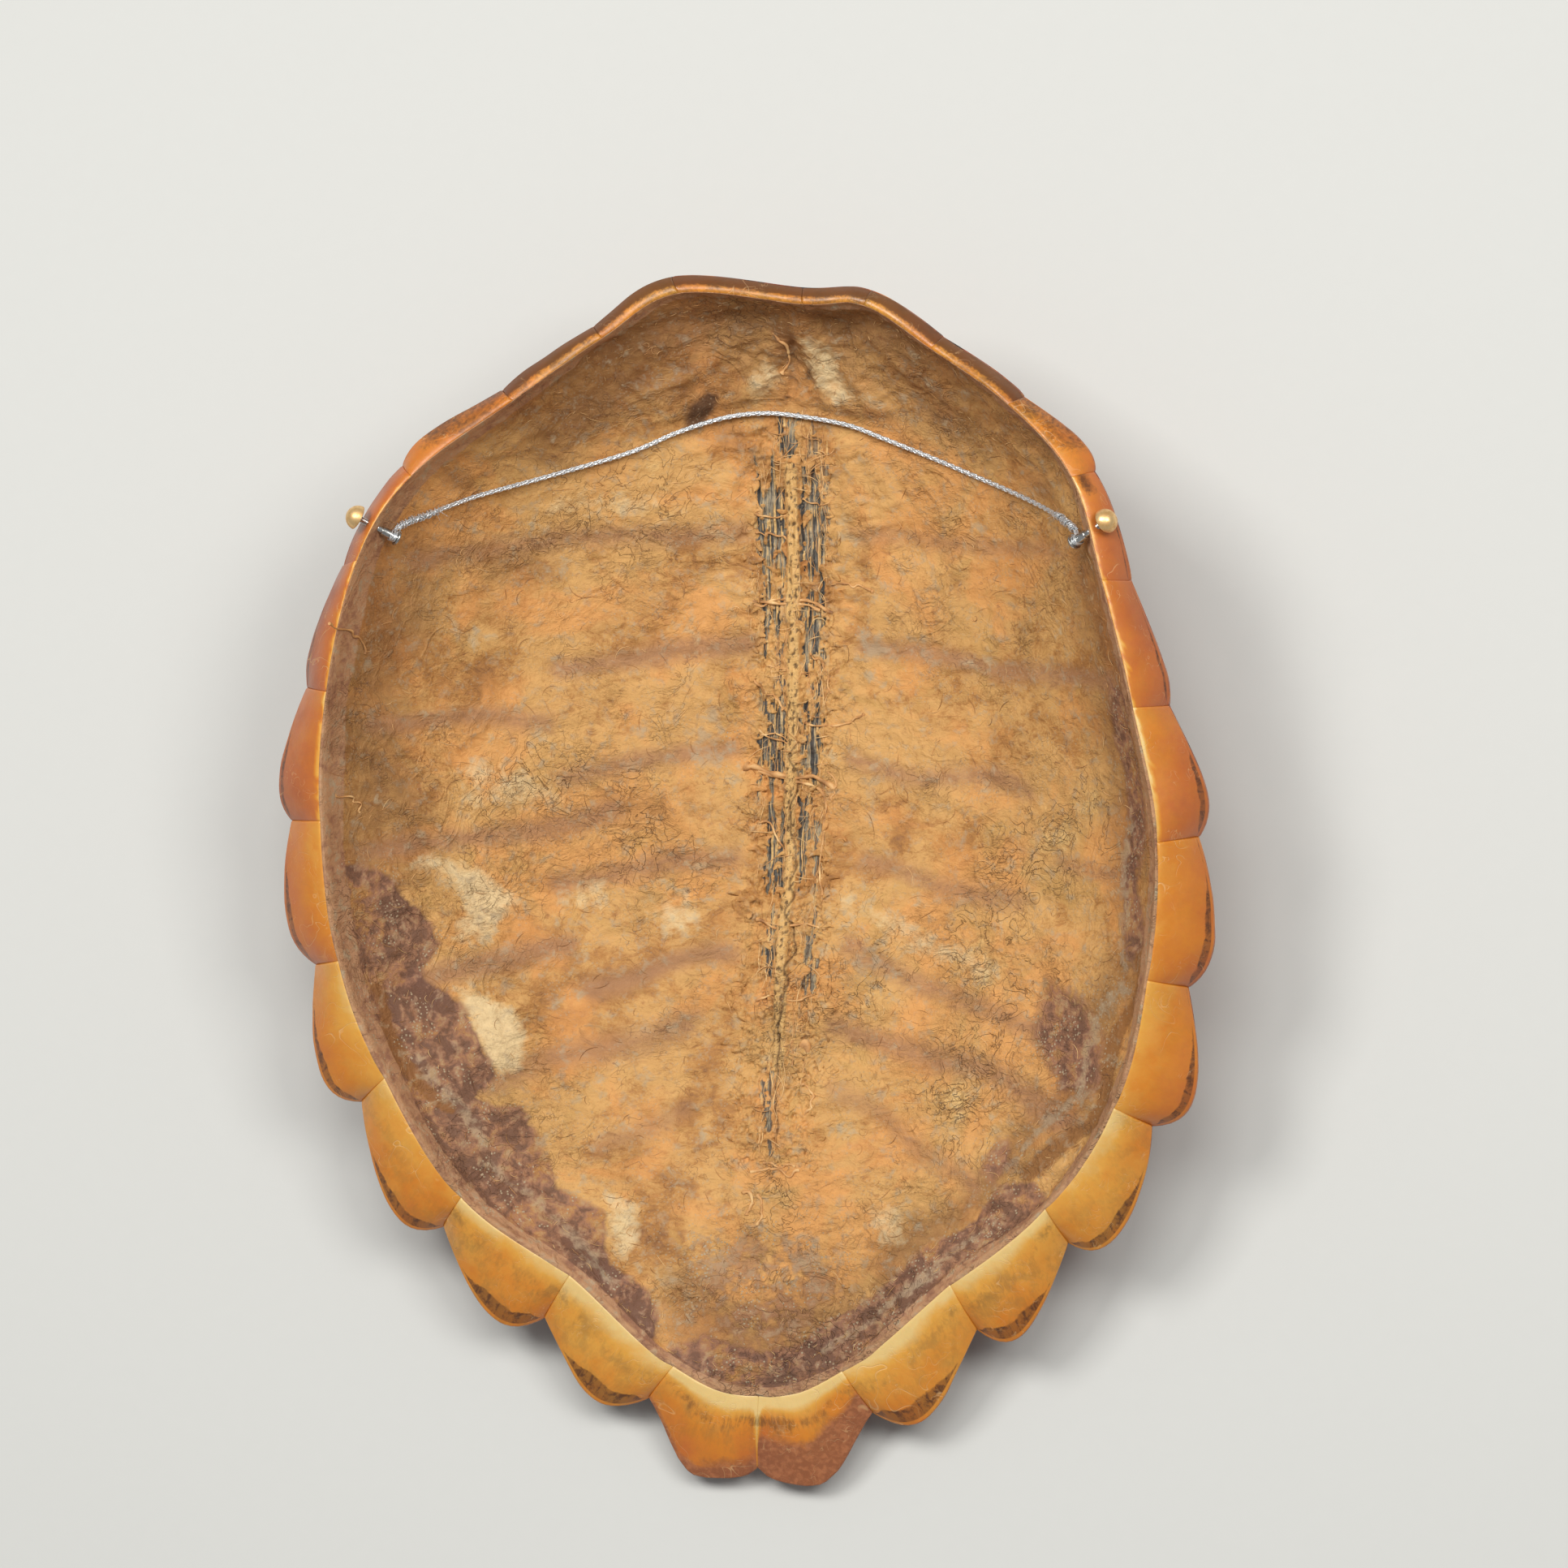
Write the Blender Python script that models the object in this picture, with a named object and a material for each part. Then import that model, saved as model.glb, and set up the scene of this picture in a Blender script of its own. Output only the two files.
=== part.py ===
"""Carapace of a sea turtle, cleaned for display, with the hardware it hangs by.

The shell lies on its back: the dome is down, the hollow side is up, the head end is at +Y.
Its shape is worked out in the shell's own frame, where the spine runs along Y and the most
raised stretch of the lip is at z = 0. An empty then turns it to the tilt at which it rests.
"""

import math

import bmesh
import bpy
import numpy as np
from mathutils import Matrix, Vector

MM = 0.001

# Rim stations in mm, from the head's midline to the tail's: the free edge (x, y), where one
# marginal scute's edge starts, and the lip (x, y), where its flat underside meets the hollow.
RIGHT_RIM = (
    (17, 368, 18, 358),
    (61, 366, 58, 357),
    (109, 337, 103, 330),
    (163, 300, 155, 296),
    (210, 255, 198, 252),
    (234, 189, 219, 190),
    (258, 113, 239, 113),
    (276, 33, 254, 31),
    (270, -59, 248, -53),
    (248, -145, 227, -132),
    (196, -219, 184, -196),
    (138, -276, 123, -246),
    (71, -332, 53, -304),
    (-3, -369, 0, -321),
)
LEFT_RIM = (
    RIGHT_RIM[0],
    (-66, 375, -60, 365),
    (-113, 344, -106, 337),
    (-167, 304, -158, 298),
    (-227, 257, -218, 251),
    (-263, 195, -249, 199),
    (-287, 118, -267, 117),
    (-298, 34, -271, 36),
    (-283, -57, -261, -52),
    (-254, -143, -233, -125),
    (-202, -221, -186, -200),
    (-138, -278, -118, -248),
    (-72, -328, -53, -305),
    RIGHT_RIM[-1],
)
# At the same stations: height of the lip, how far the free edge lies below it, and where on
# the spine the rib that ends there begins.
LIP_HEIGHT = (-85, -80, -66, -44, -22, -7, 0, 0, -3, -9, -17, -26, -34, -38)
EDGE_DROP = (6, 6, 6, 8, 12, 18, 24, 26, 24, 20, 16, 13, 11, 10)
SPINE_Y = (292, 286, 272, 246, 208, 156, 98, 38, -24, -82, -134, -178, -212, -238)
# How far each scute's free edge bulges past the line between its two ends.
SCALLOP = (0, 1, 2, 5, 2, 4, 9, 12, 18, 21, 22, 22, 22)
# Roof of the hollow along the spine: (y, height).
SPINE_PROFILE = (
    (430, -140),
    (358, -141),
    (300, -146),
    (245, -153),
    (190, -158),
    (110, -158),
    (35, -149),
    (-40, -133),
    (-115, -111),
    (-190, -86),
    (-265, -60),
    (-321, -38),
    (-380, -20),
)
WALL = 7.0
EDGE_THICKNESS = 3.0
FLARE_START = 0.68
ROUNDNESS = 2.2
STEEPNESS = 0.65

# Rest: the tilt tail-down and the lean to one side, and the worn flat under the dome.
REST_TILT = math.radians(12.5)
REST_LEAN = math.radians(-1.3)
FLAT_DEPTH = 1.3

# Steps across one scute, across the hollow and across the flat underside of the rim.
SCUTE_STEPS = (0.0, 0.3, 0.62, 0.88)
HOLLOW_STEPS = (0.0, 0.13, 0.26, 0.38, 0.5, 0.62, 0.73, 0.83, 0.91, 0.97, 1.0)
BAND_STEPS = (0.35, 0.7, 1.0)
BAND_CROWN = 2.5

# Screws through the rim, with a half-ball cap outside and a flat head inside.
BARREL_RADIUS = 2.8
BARREL_LENGTH = 12.0
SHANK_RADIUS = 2.1
HOLE_RADIUS = 3.15
HEAD_RADIUS = 5.0
HEAD_THICKNESS = 1.6
CAP_RADIUS = 7.8
SCREW_LENGTH = 29.0
SCREW_OUTWARD = Vector((0.74, 0.45, 0.50)).normalized()
SCREW_HEAD_AT = {"left": Vector((-229, 212, -28)), "right": Vector((199, 212, -28))}
SIDE_SIGN = {"left": -1, "right": 1}

# Picture wire, from the left screw's barrel down into the hollow, over its head end and up to
# the right screw's barrel.
WIRE_RADIUS = 1.3
WIRE_SPACING = 6.9
WIRE_ROUTE = (
    (-231.2, 217.0, -29.0),
    (-230.8, 220.7, -31.7),
    (-226, 223.5, -38),
    (-215, 227.5, -51),
    (-201, 233.5, -65),
    (-187, 239, -77),
    (-148, 251, -104),
    (-103, 265, -123.5),
    (-73, 278, -132.5),
    (-45, 287, -139),
    (-23, 290, -142.5),
    (-2, 289, -145),
    (34, 283, -142),
    (60, 274, -137.5),
    (93, 262, -127.5),
    (125, 250, -113),
    (150, 241, -96),
    (171, 233, -76),
    (186, 227.5, -54),
    (196, 223.5, -38),
    (200.8, 220.7, -31.7),
    (201.2, 217.0, -29.0),
)


def clear_scene():
    for old in list(bpy.data.objects):
        bpy.data.objects.remove(old)


def make_material(name, colour, roughness, metallic):
    material = bpy.data.materials.new(name)
    material.use_nodes = True
    shader = material.node_tree.nodes["Principled BSDF"]
    shader.inputs["Base Color"].default_value = (*colour, 1.0)
    shader.inputs["Roughness"].default_value = roughness
    shader.inputs["Metallic"].default_value = metallic
    return material


def add_object(name, mesh, material, parent):
    node = bpy.data.objects.new(name, mesh)
    node.data.materials.append(material)
    bpy.context.collection.objects.link(node)
    node.parent = parent
    return node


def mesh_from(form, name):
    bmesh.ops.recalc_face_normals(form, faces=form.faces)
    mesh = bpy.data.meshes.new(name)
    form.to_mesh(mesh)
    form.free()
    return mesh


def through(values, at):
    """A smooth curve through the values at 0, 1, 2 ..., which hold one spare at each end."""
    values = np.asarray(values, float)
    span = np.clip(np.floor(at).astype(int), 0, len(values) - 4)
    t = at - span
    if values.ndim > 1:
        t = t[:, None]
    before, start, end, after = (values[span + i] for i in range(4))
    bend = 2 * before - 5 * start + 4 * end - after
    twist = 3 * (start - end) + after - before
    return start + 0.5 * t * (end - before + t * (bend + t * twist))


def stations(own, other):
    """One side's stations with the other side's neighbour beyond each midline."""
    heights = np.column_stack((LIP_HEIGHT, EDGE_DROP, SPINE_Y))
    own = np.column_stack((own, heights))
    other = np.column_stack((other, heights))
    return np.vstack((other[1], own, other[-2]))


def spine_height(y):
    """Height of the hollow's roof at y, smoothed through the profile's points."""
    profile = np.array(SPINE_PROFILE[::-1], float)
    at = np.interp(y, profile[:, 0], np.arange(len(profile)))
    padded = np.concatenate((profile[:1, 1], profile[:, 1], profile[-1:, 1]))
    return through(padded, at)


def rise(s):
    """Share of the height from spine to lip gained at the share s of the way across."""
    return 1 - np.maximum(0, 1 - s**ROUNDNESS) ** STEEPNESS


def bulge(v):
    """Outline of one scute's free edge: full towards its rear corner, zero at both ends."""
    return (1 - (1 - v) ** 1.5) * (1 - v**6) / 0.72


def half_grid(own, other):
    """Points of one side, by row from head to tail and by column from the spine inside,
    over the lip and the free edge, to the spine outside."""
    scutes = len(SCALLOP)
    at = np.array([k + v for k in range(scutes) for v in SCUTE_STEPS] + [float(scutes)])
    table = through(stations(own, other), at)
    edge, lip = table[:, 0:2], table[:, 2:4]
    lip_z, drop, spine_y = table[:, 4], table[:, 5], table[:, 6]
    scute = np.minimum(at.astype(int), scutes - 1)
    outward = edge - lip
    outward /= np.linalg.norm(outward, axis=1)[:, None]
    spread = np.array(SCALLOP, float)[scute] * bulge(at - scute)
    edge = edge + outward * spread[:, None]
    root = np.column_stack((np.zeros_like(at), spine_y))

    columns = []
    for s in HOLLOW_STEPS:
        xy = root + s * (lip - root)
        roof = spine_height(xy[:, 1])
        z = roof + (lip_z - spine_height(lip[:, 1])) * rise(s)
        columns.append(np.column_stack((xy, z)))
    for b in BAND_STEPS:
        xy = lip + b * (edge - lip)
        z = lip_z - b * drop + BAND_CROWN * math.sin(math.pi * b)
        columns.append(np.column_stack((xy, z)))
    under = np.column_stack((edge, lip_z - drop - EDGE_THICKNESS))
    foot = lip + outward * WALL
    for s in HOLLOW_STEPS[::-1]:
        xy = root + s * (foot - root)
        roof = spine_height(xy[:, 1]) - WALL
        z = roof + (lip_z - spine_height(foot[:, 1]) + WALL) * rise(s)
        flare = min(1.0, max(0.0, (s - FLARE_START) / (1 - FLARE_START)))
        share = flare * flare * (3 - 2 * flare)
        dome = np.column_stack((xy, z))
        columns.append(dome + share * (under - dome))
    return np.stack(columns, axis=1)


def rest_rotation():
    return Matrix.Rotation(REST_TILT, 3, "X") @ Matrix.Rotation(REST_LEAN, 3, "Y")


def seat_flat(points):
    """Presses the dome's lowest part flat, square to the direction that is up at rest."""
    up = np.array(rest_rotation())[2]
    height = points @ up
    floor = height.min() + FLAT_DEPTH
    return points + np.maximum(0, floor - height)[..., None] * up


def add_half(form, grid):
    rows, cols = grid.shape[:2]
    points = (grid.reshape(-1, 3) * MM).tolist()
    verts = [form.verts.new(point) for point in points]
    for i in range(rows - 1):
        for j in range(cols - 1):
            a = i * cols + j
            form.faces.new((verts[a], verts[a + 1], verts[a + cols + 1], verts[a + cols]))


def carapace_points():
    """Both sides' grids, right then left, with the flat they rest on pressed in."""
    right = half_grid(RIGHT_RIM, LEFT_RIM)
    left = half_grid(LEFT_RIM, RIGHT_RIM)
    return seat_flat(np.stack((right, left)))


def resting_place(points):
    """Matrix from the shell's frame to the row's: turned to rest, with the origin under the
    middle of the shell's box."""
    turn = rest_rotation()
    turned_points = points.reshape(-1, 3) @ np.array(turn).T
    low, high = turned_points.min(axis=0), turned_points.max(axis=0)
    base = Vector(((low[0] + high[0]) / 2, (low[1] + high[1]) / 2, low[2]))
    return Matrix.Translation(-base * MM) @ turn.to_4x4()


def carapace_mesh(halves):
    form = bmesh.new()
    for grid in halves:
        add_half(form, grid)
    bmesh.ops.remove_doubles(form, verts=form.verts, dist=0.01 * MM)
    bmesh.ops.triangulate(form, faces=form.faces)
    return mesh_from(form, "carapace")


def screw_frame(side):
    """Matrix that carries +Z to the screw's outward direction, from the head's inner face."""
    outward = Vector(SCREW_OUTWARD)
    outward.x *= SIDE_SIGN[side]
    turn = outward.to_track_quat("Z", "Y").to_matrix().to_4x4()
    return Matrix.Translation(SCREW_HEAD_AT[side] * MM) @ turn


def turned(profile, steps):
    """A solid turned about Z from (radius, height) points in mm, both ends on the axis."""
    form = bmesh.new()
    points = [form.verts.new((r * MM, 0, z * MM)) for r, z in profile]
    edges = [form.edges.new(pair) for pair in zip(points, points[1:])]
    bmesh.ops.spin(
        form,
        geom=points + edges,
        cent=(0, 0, 0),
        axis=(0, 0, 1),
        angle=2 * math.pi,
        steps=steps,
    )
    bmesh.ops.remove_doubles(form, verts=form.verts, dist=0.001 * MM)
    return form


def screw_mesh(side):
    profile = (
        (0, 0),
        (HEAD_RADIUS - 0.5, 0),
        (HEAD_RADIUS, 0.4),
        (HEAD_RADIUS, HEAD_THICKNESS),
        (BARREL_RADIUS, HEAD_THICKNESS),
        (BARREL_RADIUS, BARREL_LENGTH),
        (SHANK_RADIUS, BARREL_LENGTH),
        (SHANK_RADIUS, SCREW_LENGTH),
        (0, SCREW_LENGTH),
    )
    return mesh_from(turned(profile, 20), f"screw_{side}")


def cap_mesh(side):
    gap = 0.3
    arc = [(CAP_RADIUS * math.cos(a), SCREW_LENGTH + gap + CAP_RADIUS * math.sin(a))
           for a in (math.radians(9 * i) for i in range(11))]
    profile = [(0, SCREW_LENGTH + gap), *arc[:-1], (0, SCREW_LENGTH + gap + CAP_RADIUS)]
    return mesh_from(turned(profile, 28), f"dome_cap_{side}")


def even_route(route, spacing):
    """Points at even spacing along a smooth curve through the route's points."""
    route = np.array(route, float)
    padded = np.vstack((2 * route[0] - route[1], route, 2 * route[-1] - route[-2]))
    fine = through(padded, np.linspace(0, len(route) - 1, 40 * len(route)))
    steps = np.linalg.norm(np.diff(fine, axis=0), axis=1)
    along = np.concatenate(([0.0], np.cumsum(steps)))
    wanted = np.linspace(0, along[-1], round(along[-1] / spacing) + 1)
    return np.column_stack([np.interp(wanted, along, fine[:, k]) for k in range(3)])


def wire_curve():
    points = even_route(WIRE_ROUTE, WIRE_SPACING) * MM
    curve = bpy.data.curves.new("hanging_wire", "CURVE")
    curve.dimensions = "3D"
    curve.bevel_depth = WIRE_RADIUS * MM
    curve.bevel_resolution = 2
    curve.use_fill_caps = True
    line = curve.splines.new("POLY")
    line.points.add(len(points) - 1)
    for knot, (x, y, z) in zip(line.points, points):
        knot.co = (x, y, z, 1)
    return curve


def drill(carapace, side, parent):
    """Cuts the screw's hole through the rim."""
    form = bmesh.new()
    bmesh.ops.create_cone(
        form,
        cap_ends=True,
        segments=20,
        radius1=HOLE_RADIUS * MM,
        radius2=HOLE_RADIUS * MM,
        depth=2 * SCREW_LENGTH * MM,
    )
    drill_bit = bpy.data.objects.new(f"drill_{side}", mesh_from(form, f"drill_{side}"))
    bpy.context.collection.objects.link(drill_bit)
    drill_bit.parent = parent
    drill_bit.matrix_local = screw_frame(side)
    drill_bit.hide_render = True
    drill_bit.display_type = "WIRE"
    cut = carapace.modifiers.new(f"hole_{side}", "BOOLEAN")
    cut.operation = "DIFFERENCE"
    cut.solver = "EXACT"
    cut.object = drill_bit


def main():
    clear_scene()
    shell = make_material("horn_and_bone", (0.55, 0.30, 0.11), 0.6, 0.0)
    steel = make_material("steel", (0.62, 0.62, 0.64), 0.3, 1.0)
    brass = make_material("brass", (0.66, 0.45, 0.18), 0.35, 1.0)
    rest = bpy.data.objects.new("resting_pose", None)
    bpy.context.collection.objects.link(rest)
    halves = carapace_points()
    rest.matrix_world = resting_place(halves)
    carapace = add_object("carapace", carapace_mesh(halves), shell, rest)
    for side in SIDE_SIGN:
        drill(carapace, side, rest)
        screw = add_object(f"screw_{side}", screw_mesh(side), steel, rest)
        screw.matrix_local = screw_frame(side)
        cap = add_object(f"dome_cap_{side}", cap_mesh(side), brass, rest)
        cap.matrix_local = screw_frame(side)
    add_object("hanging_wire", wire_curve(), steel, rest)


main()
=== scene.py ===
"""Looks of a sea turtle's carapace, lying on its dome, with the picture wire it hangs by.

Shapes are worked out in the shell's own frame in millimetres: the spine runs along Y with the
head at +Y, +X is the right-hand side seen from the hollow side, and the most raised stretch of
the lip is at z = 0. RestFrame carries them to the row's frame, where the shell lies at rest.
"""

import logging
import math
from dataclasses import dataclass, field
from enum import Enum
from typing import Any, Callable, Sequence

import bmesh
import bpy
import numpy as np
from bpy.types import Material, NodeTree, Object
from mathutils import Matrix, Vector


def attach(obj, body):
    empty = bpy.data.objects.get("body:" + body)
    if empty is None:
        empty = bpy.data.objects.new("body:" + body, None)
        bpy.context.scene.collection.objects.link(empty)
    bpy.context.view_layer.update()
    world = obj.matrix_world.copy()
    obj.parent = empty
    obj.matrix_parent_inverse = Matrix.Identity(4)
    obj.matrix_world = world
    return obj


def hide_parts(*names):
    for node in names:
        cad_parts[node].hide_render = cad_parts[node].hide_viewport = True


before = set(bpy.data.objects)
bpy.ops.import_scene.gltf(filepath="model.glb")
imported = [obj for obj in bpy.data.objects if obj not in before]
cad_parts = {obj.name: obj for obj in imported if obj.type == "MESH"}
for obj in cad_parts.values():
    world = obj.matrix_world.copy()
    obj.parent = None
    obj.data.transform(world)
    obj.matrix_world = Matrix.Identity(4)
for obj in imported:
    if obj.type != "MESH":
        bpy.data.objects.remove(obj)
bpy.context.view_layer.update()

LOG = logging.getLogger("turtle_shell")
MM = 0.001

# Rim stations, from the head's midline to the tail's: free edge (x, y), then lip (x, y).
RIGHT_RIM = (
    (17, 368, 18, 358), (61, 366, 58, 357), (109, 337, 103, 330), (163, 300, 155, 296),
    (210, 255, 198, 252), (234, 189, 219, 190), (258, 113, 239, 113), (276, 33, 254, 31),
    (270, -59, 248, -53), (248, -145, 227, -132), (196, -219, 184, -196),
    (138, -276, 123, -246), (71, -332, 53, -304), (-3, -369, 0, -321),
)
LEFT_RIM = (
    RIGHT_RIM[0], (-66, 375, -60, 365), (-113, 344, -106, 337), (-167, 304, -158, 298),
    (-227, 257, -218, 251), (-263, 195, -249, 199), (-287, 118, -267, 117),
    (-298, 34, -271, 36), (-283, -57, -261, -52), (-254, -143, -233, -125),
    (-202, -221, -186, -200), (-138, -278, -118, -248), (-72, -328, -53, -305), RIGHT_RIM[-1],
)
LIP_HEIGHT = (-85, -80, -66, -44, -22, -7, 0, 0, -3, -9, -17, -26, -34, -38)
EDGE_DROP = (6, 6, 6, 8, 12, 18, 24, 26, 24, 20, 16, 13, 11, 10)
SPINE_Y = (292, 286, 272, 246, 208, 156, 98, 38, -24, -82, -134, -178, -212, -238)
SCALLOP = (0, 1, 2, 5, 2, 4, 9, 12, 18, 21, 22, 22, 22)
# How far the last scute's edge stands out, at even steps along it.
TAIL_BULGE = (0.0, 3.5, 8.5, 14.5, 20.5, 23.5, 20.5, 16.0, 12.0, 8.0, 1.0)
SPINE_PROFILE = (
    (430, -140), (358, -141), (300, -146), (245, -153), (190, -158), (110, -158), (35, -149),
    (-40, -133), (-115, -111), (-190, -86), (-265, -60), (-321, -38), (-380, -20),
)
SCUTES = len(SCALLOP)

# The picture wire's centreline, from the left screw's barrel to the right one's.
WIRE_ROUTE = (
    (-231.2, 217.0, -29.0), (-229.4, 219.6, -32.0), (-224.5, 222.6, -38), (-215, 227.0, -51),
    (-201, 233.5, -65), (-187, 239, -77), (-148, 251, -104), (-103, 265, -123.5),
    (-73, 278, -132.5), (-45, 287, -139), (-23, 290, -142.5), (-2, 289, -145),
    (34, 283, -142), (60, 274, -137.5), (93, 262, -127.5), (125, 250, -113), (150, 241, -96),
    (171, 233, -76), (186, 227.0, -54), (194.5, 222.6, -38), (199.4, 219.6, -32.0),
    (201.2, 217.0, -29.0),
)

Color = tuple[float, float, float]
Array = np.ndarray
# Two arrays that belong together, mostly a solid's points and faces.
Solid = tuple[Array, Array]
# A scute's points, faces and attributes.
Scute = tuple[Array, Array, dict[str, Array]]


class Side(Enum):
    """The two halves of the shell, seen from the hollow side."""

    RIGHT = 1
    LEFT = -1


def srgb(red: int, green: int, blue: int) -> Color:
    """Linear colour of a display colour given in 0 to 255.

    Args:
        red: Red part.
        green: Green part.
        blue: Blue part.

    Returns:
        The three linear parts, 0 to 1.
    """
    parts = np.array((red, green, blue)) / 255
    linear = np.where(parts <= 0.04045, parts / 12.92, ((parts + 0.055) / 1.055) ** 2.4)
    return tuple(float(part) for part in linear)


def smooth(t: Array) -> Array:
    """The easing 3t^2 - 2t^3 of t held to 0..1."""
    t = np.clip(t, 0, 1)
    return t * t * (3 - 2 * t)


def through(values: Any, at: Array) -> Array:
    """A smooth curve through values: a Catmull-Rom cubic of the four values round each place.

    Args:
        values: Rows to pass through at 0, 1, 2 ..., with one spare row at each end.
        at: Places along them, of any shape.

    Returns:
        The curve at each place, with the rows' own shape added at the end.
    """
    values = np.asarray(values, float)
    at = np.asarray(at, float)
    span = np.clip(np.floor(at).astype(int), 0, len(values) - 4)
    t = at - span
    if values.ndim > 1:
        t = t[..., None]
    before, start, end, after = (values[span + i] for i in range(4))
    bend = 2 * before - 5 * start + 4 * end - after
    twist = 3 * (start - end) + after - before
    return start + 0.5 * t * (end - before + t * (bend + t * twist))


def unit(vectors: Array) -> Array:
    """The vectors at length one."""
    return vectors / np.maximum(np.linalg.norm(vectors, axis=-1, keepdims=True), 1e-9)


def ripples(
    x: Array, y: Array, wave: float, seed: int, along: float = 1.0, count: int = 42
) -> Array:
    """Cloudy noise: a sum of plane cosine waves with random headings, about -2 to 2.

    Args:
        x: First coordinate in mm.
        y: Second coordinate in mm.
        wave: Mean wavelength in mm.
        seed: Seed of the headings and phases.
        along: How many times longer the pattern is along x than along y.
        count: Number of waves.

    Returns:
        The noise at each place.
    """
    rng = np.random.default_rng(seed)
    heading = rng.uniform(0, 2 * math.pi, count)
    number = 2 * math.pi / (wave * rng.uniform(0.6, 1.5, count))
    phase = rng.uniform(0, 2 * math.pi, count)
    total = np.zeros(np.broadcast(x, y).shape)
    for a, k, p in zip(heading, number, phase):
        total += np.cos(k * (math.cos(a) * x / along + math.sin(a) * y) + p)
    return total * math.sqrt(2 / count)


def distance_to(x: Array, y: Array, line: Sequence[tuple[float, float]]) -> Array:
    """Distance in the plane from each place to the nearest point of a line of segments.

    Args:
        x: First coordinates.
        y: Second coordinates.
        line: The line's corners.

    Returns:
        The distances.
    """
    best = np.full(np.broadcast(x, y).shape, 1e9)
    for (x0, y0), (x1, y1) in zip(line, line[1:]):
        dx, dy = x1 - x0, y1 - y0
        t = np.clip(((x - x0) * dx + (y - y0) * dy) / (dx * dx + dy * dy + 1e-9), 0, 1)
        best = np.minimum(best, np.hypot(x - x0 - t * dx, y - y0 - t * dy))
    return best


def inside_outline(x: Array, y: Array, corners: Sequence[tuple[float, float]]) -> Array:
    """Signed distance to an outline, above zero inside it, by counting crossings along x.

    Args:
        x: First coordinates.
        y: Second coordinates.
        corners: The outline's corners in order.

    Returns:
        Distance to the outline, negative outside.
    """
    closed = list(corners) + [corners[0]]
    within = np.zeros(np.broadcast(x, y).shape, bool)
    for (x0, y0), (x1, y1) in zip(closed, closed[1:]):
        crosses = (y0 > y) != (y1 > y)
        at = (x1 - x0) * (y - y0) / (y1 - y0 if y1 != y0 else 1e-9) + x0
        within ^= crosses & (x < at)
    return np.where(within, 1, -1) * distance_to(x, y, closed)


@dataclass(frozen=True)
class RestFrame:
    """Carries the shell's own frame, in mm, to the row's, in metres."""

    tilt_deg: float = 12.5
    lean_deg: float = -1.3
    base: Color = (-8.8, 11.1088, -144.4746)

    def turn(self) -> Array:
        """Rotation about X by the tilt after one about Y by the lean."""
        tilt = Matrix.Rotation(math.radians(self.tilt_deg), 3, "X")
        return np.array(tilt @ Matrix.Rotation(math.radians(self.lean_deg), 3, "Y"))

    def place(self, points: Array) -> Array:
        """Points of the shell's frame in the row's: turned, less the base, in metres."""
        return (np.asarray(points, float) @ self.turn().T - np.array(self.base)) * MM


REST = RestFrame()


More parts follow.
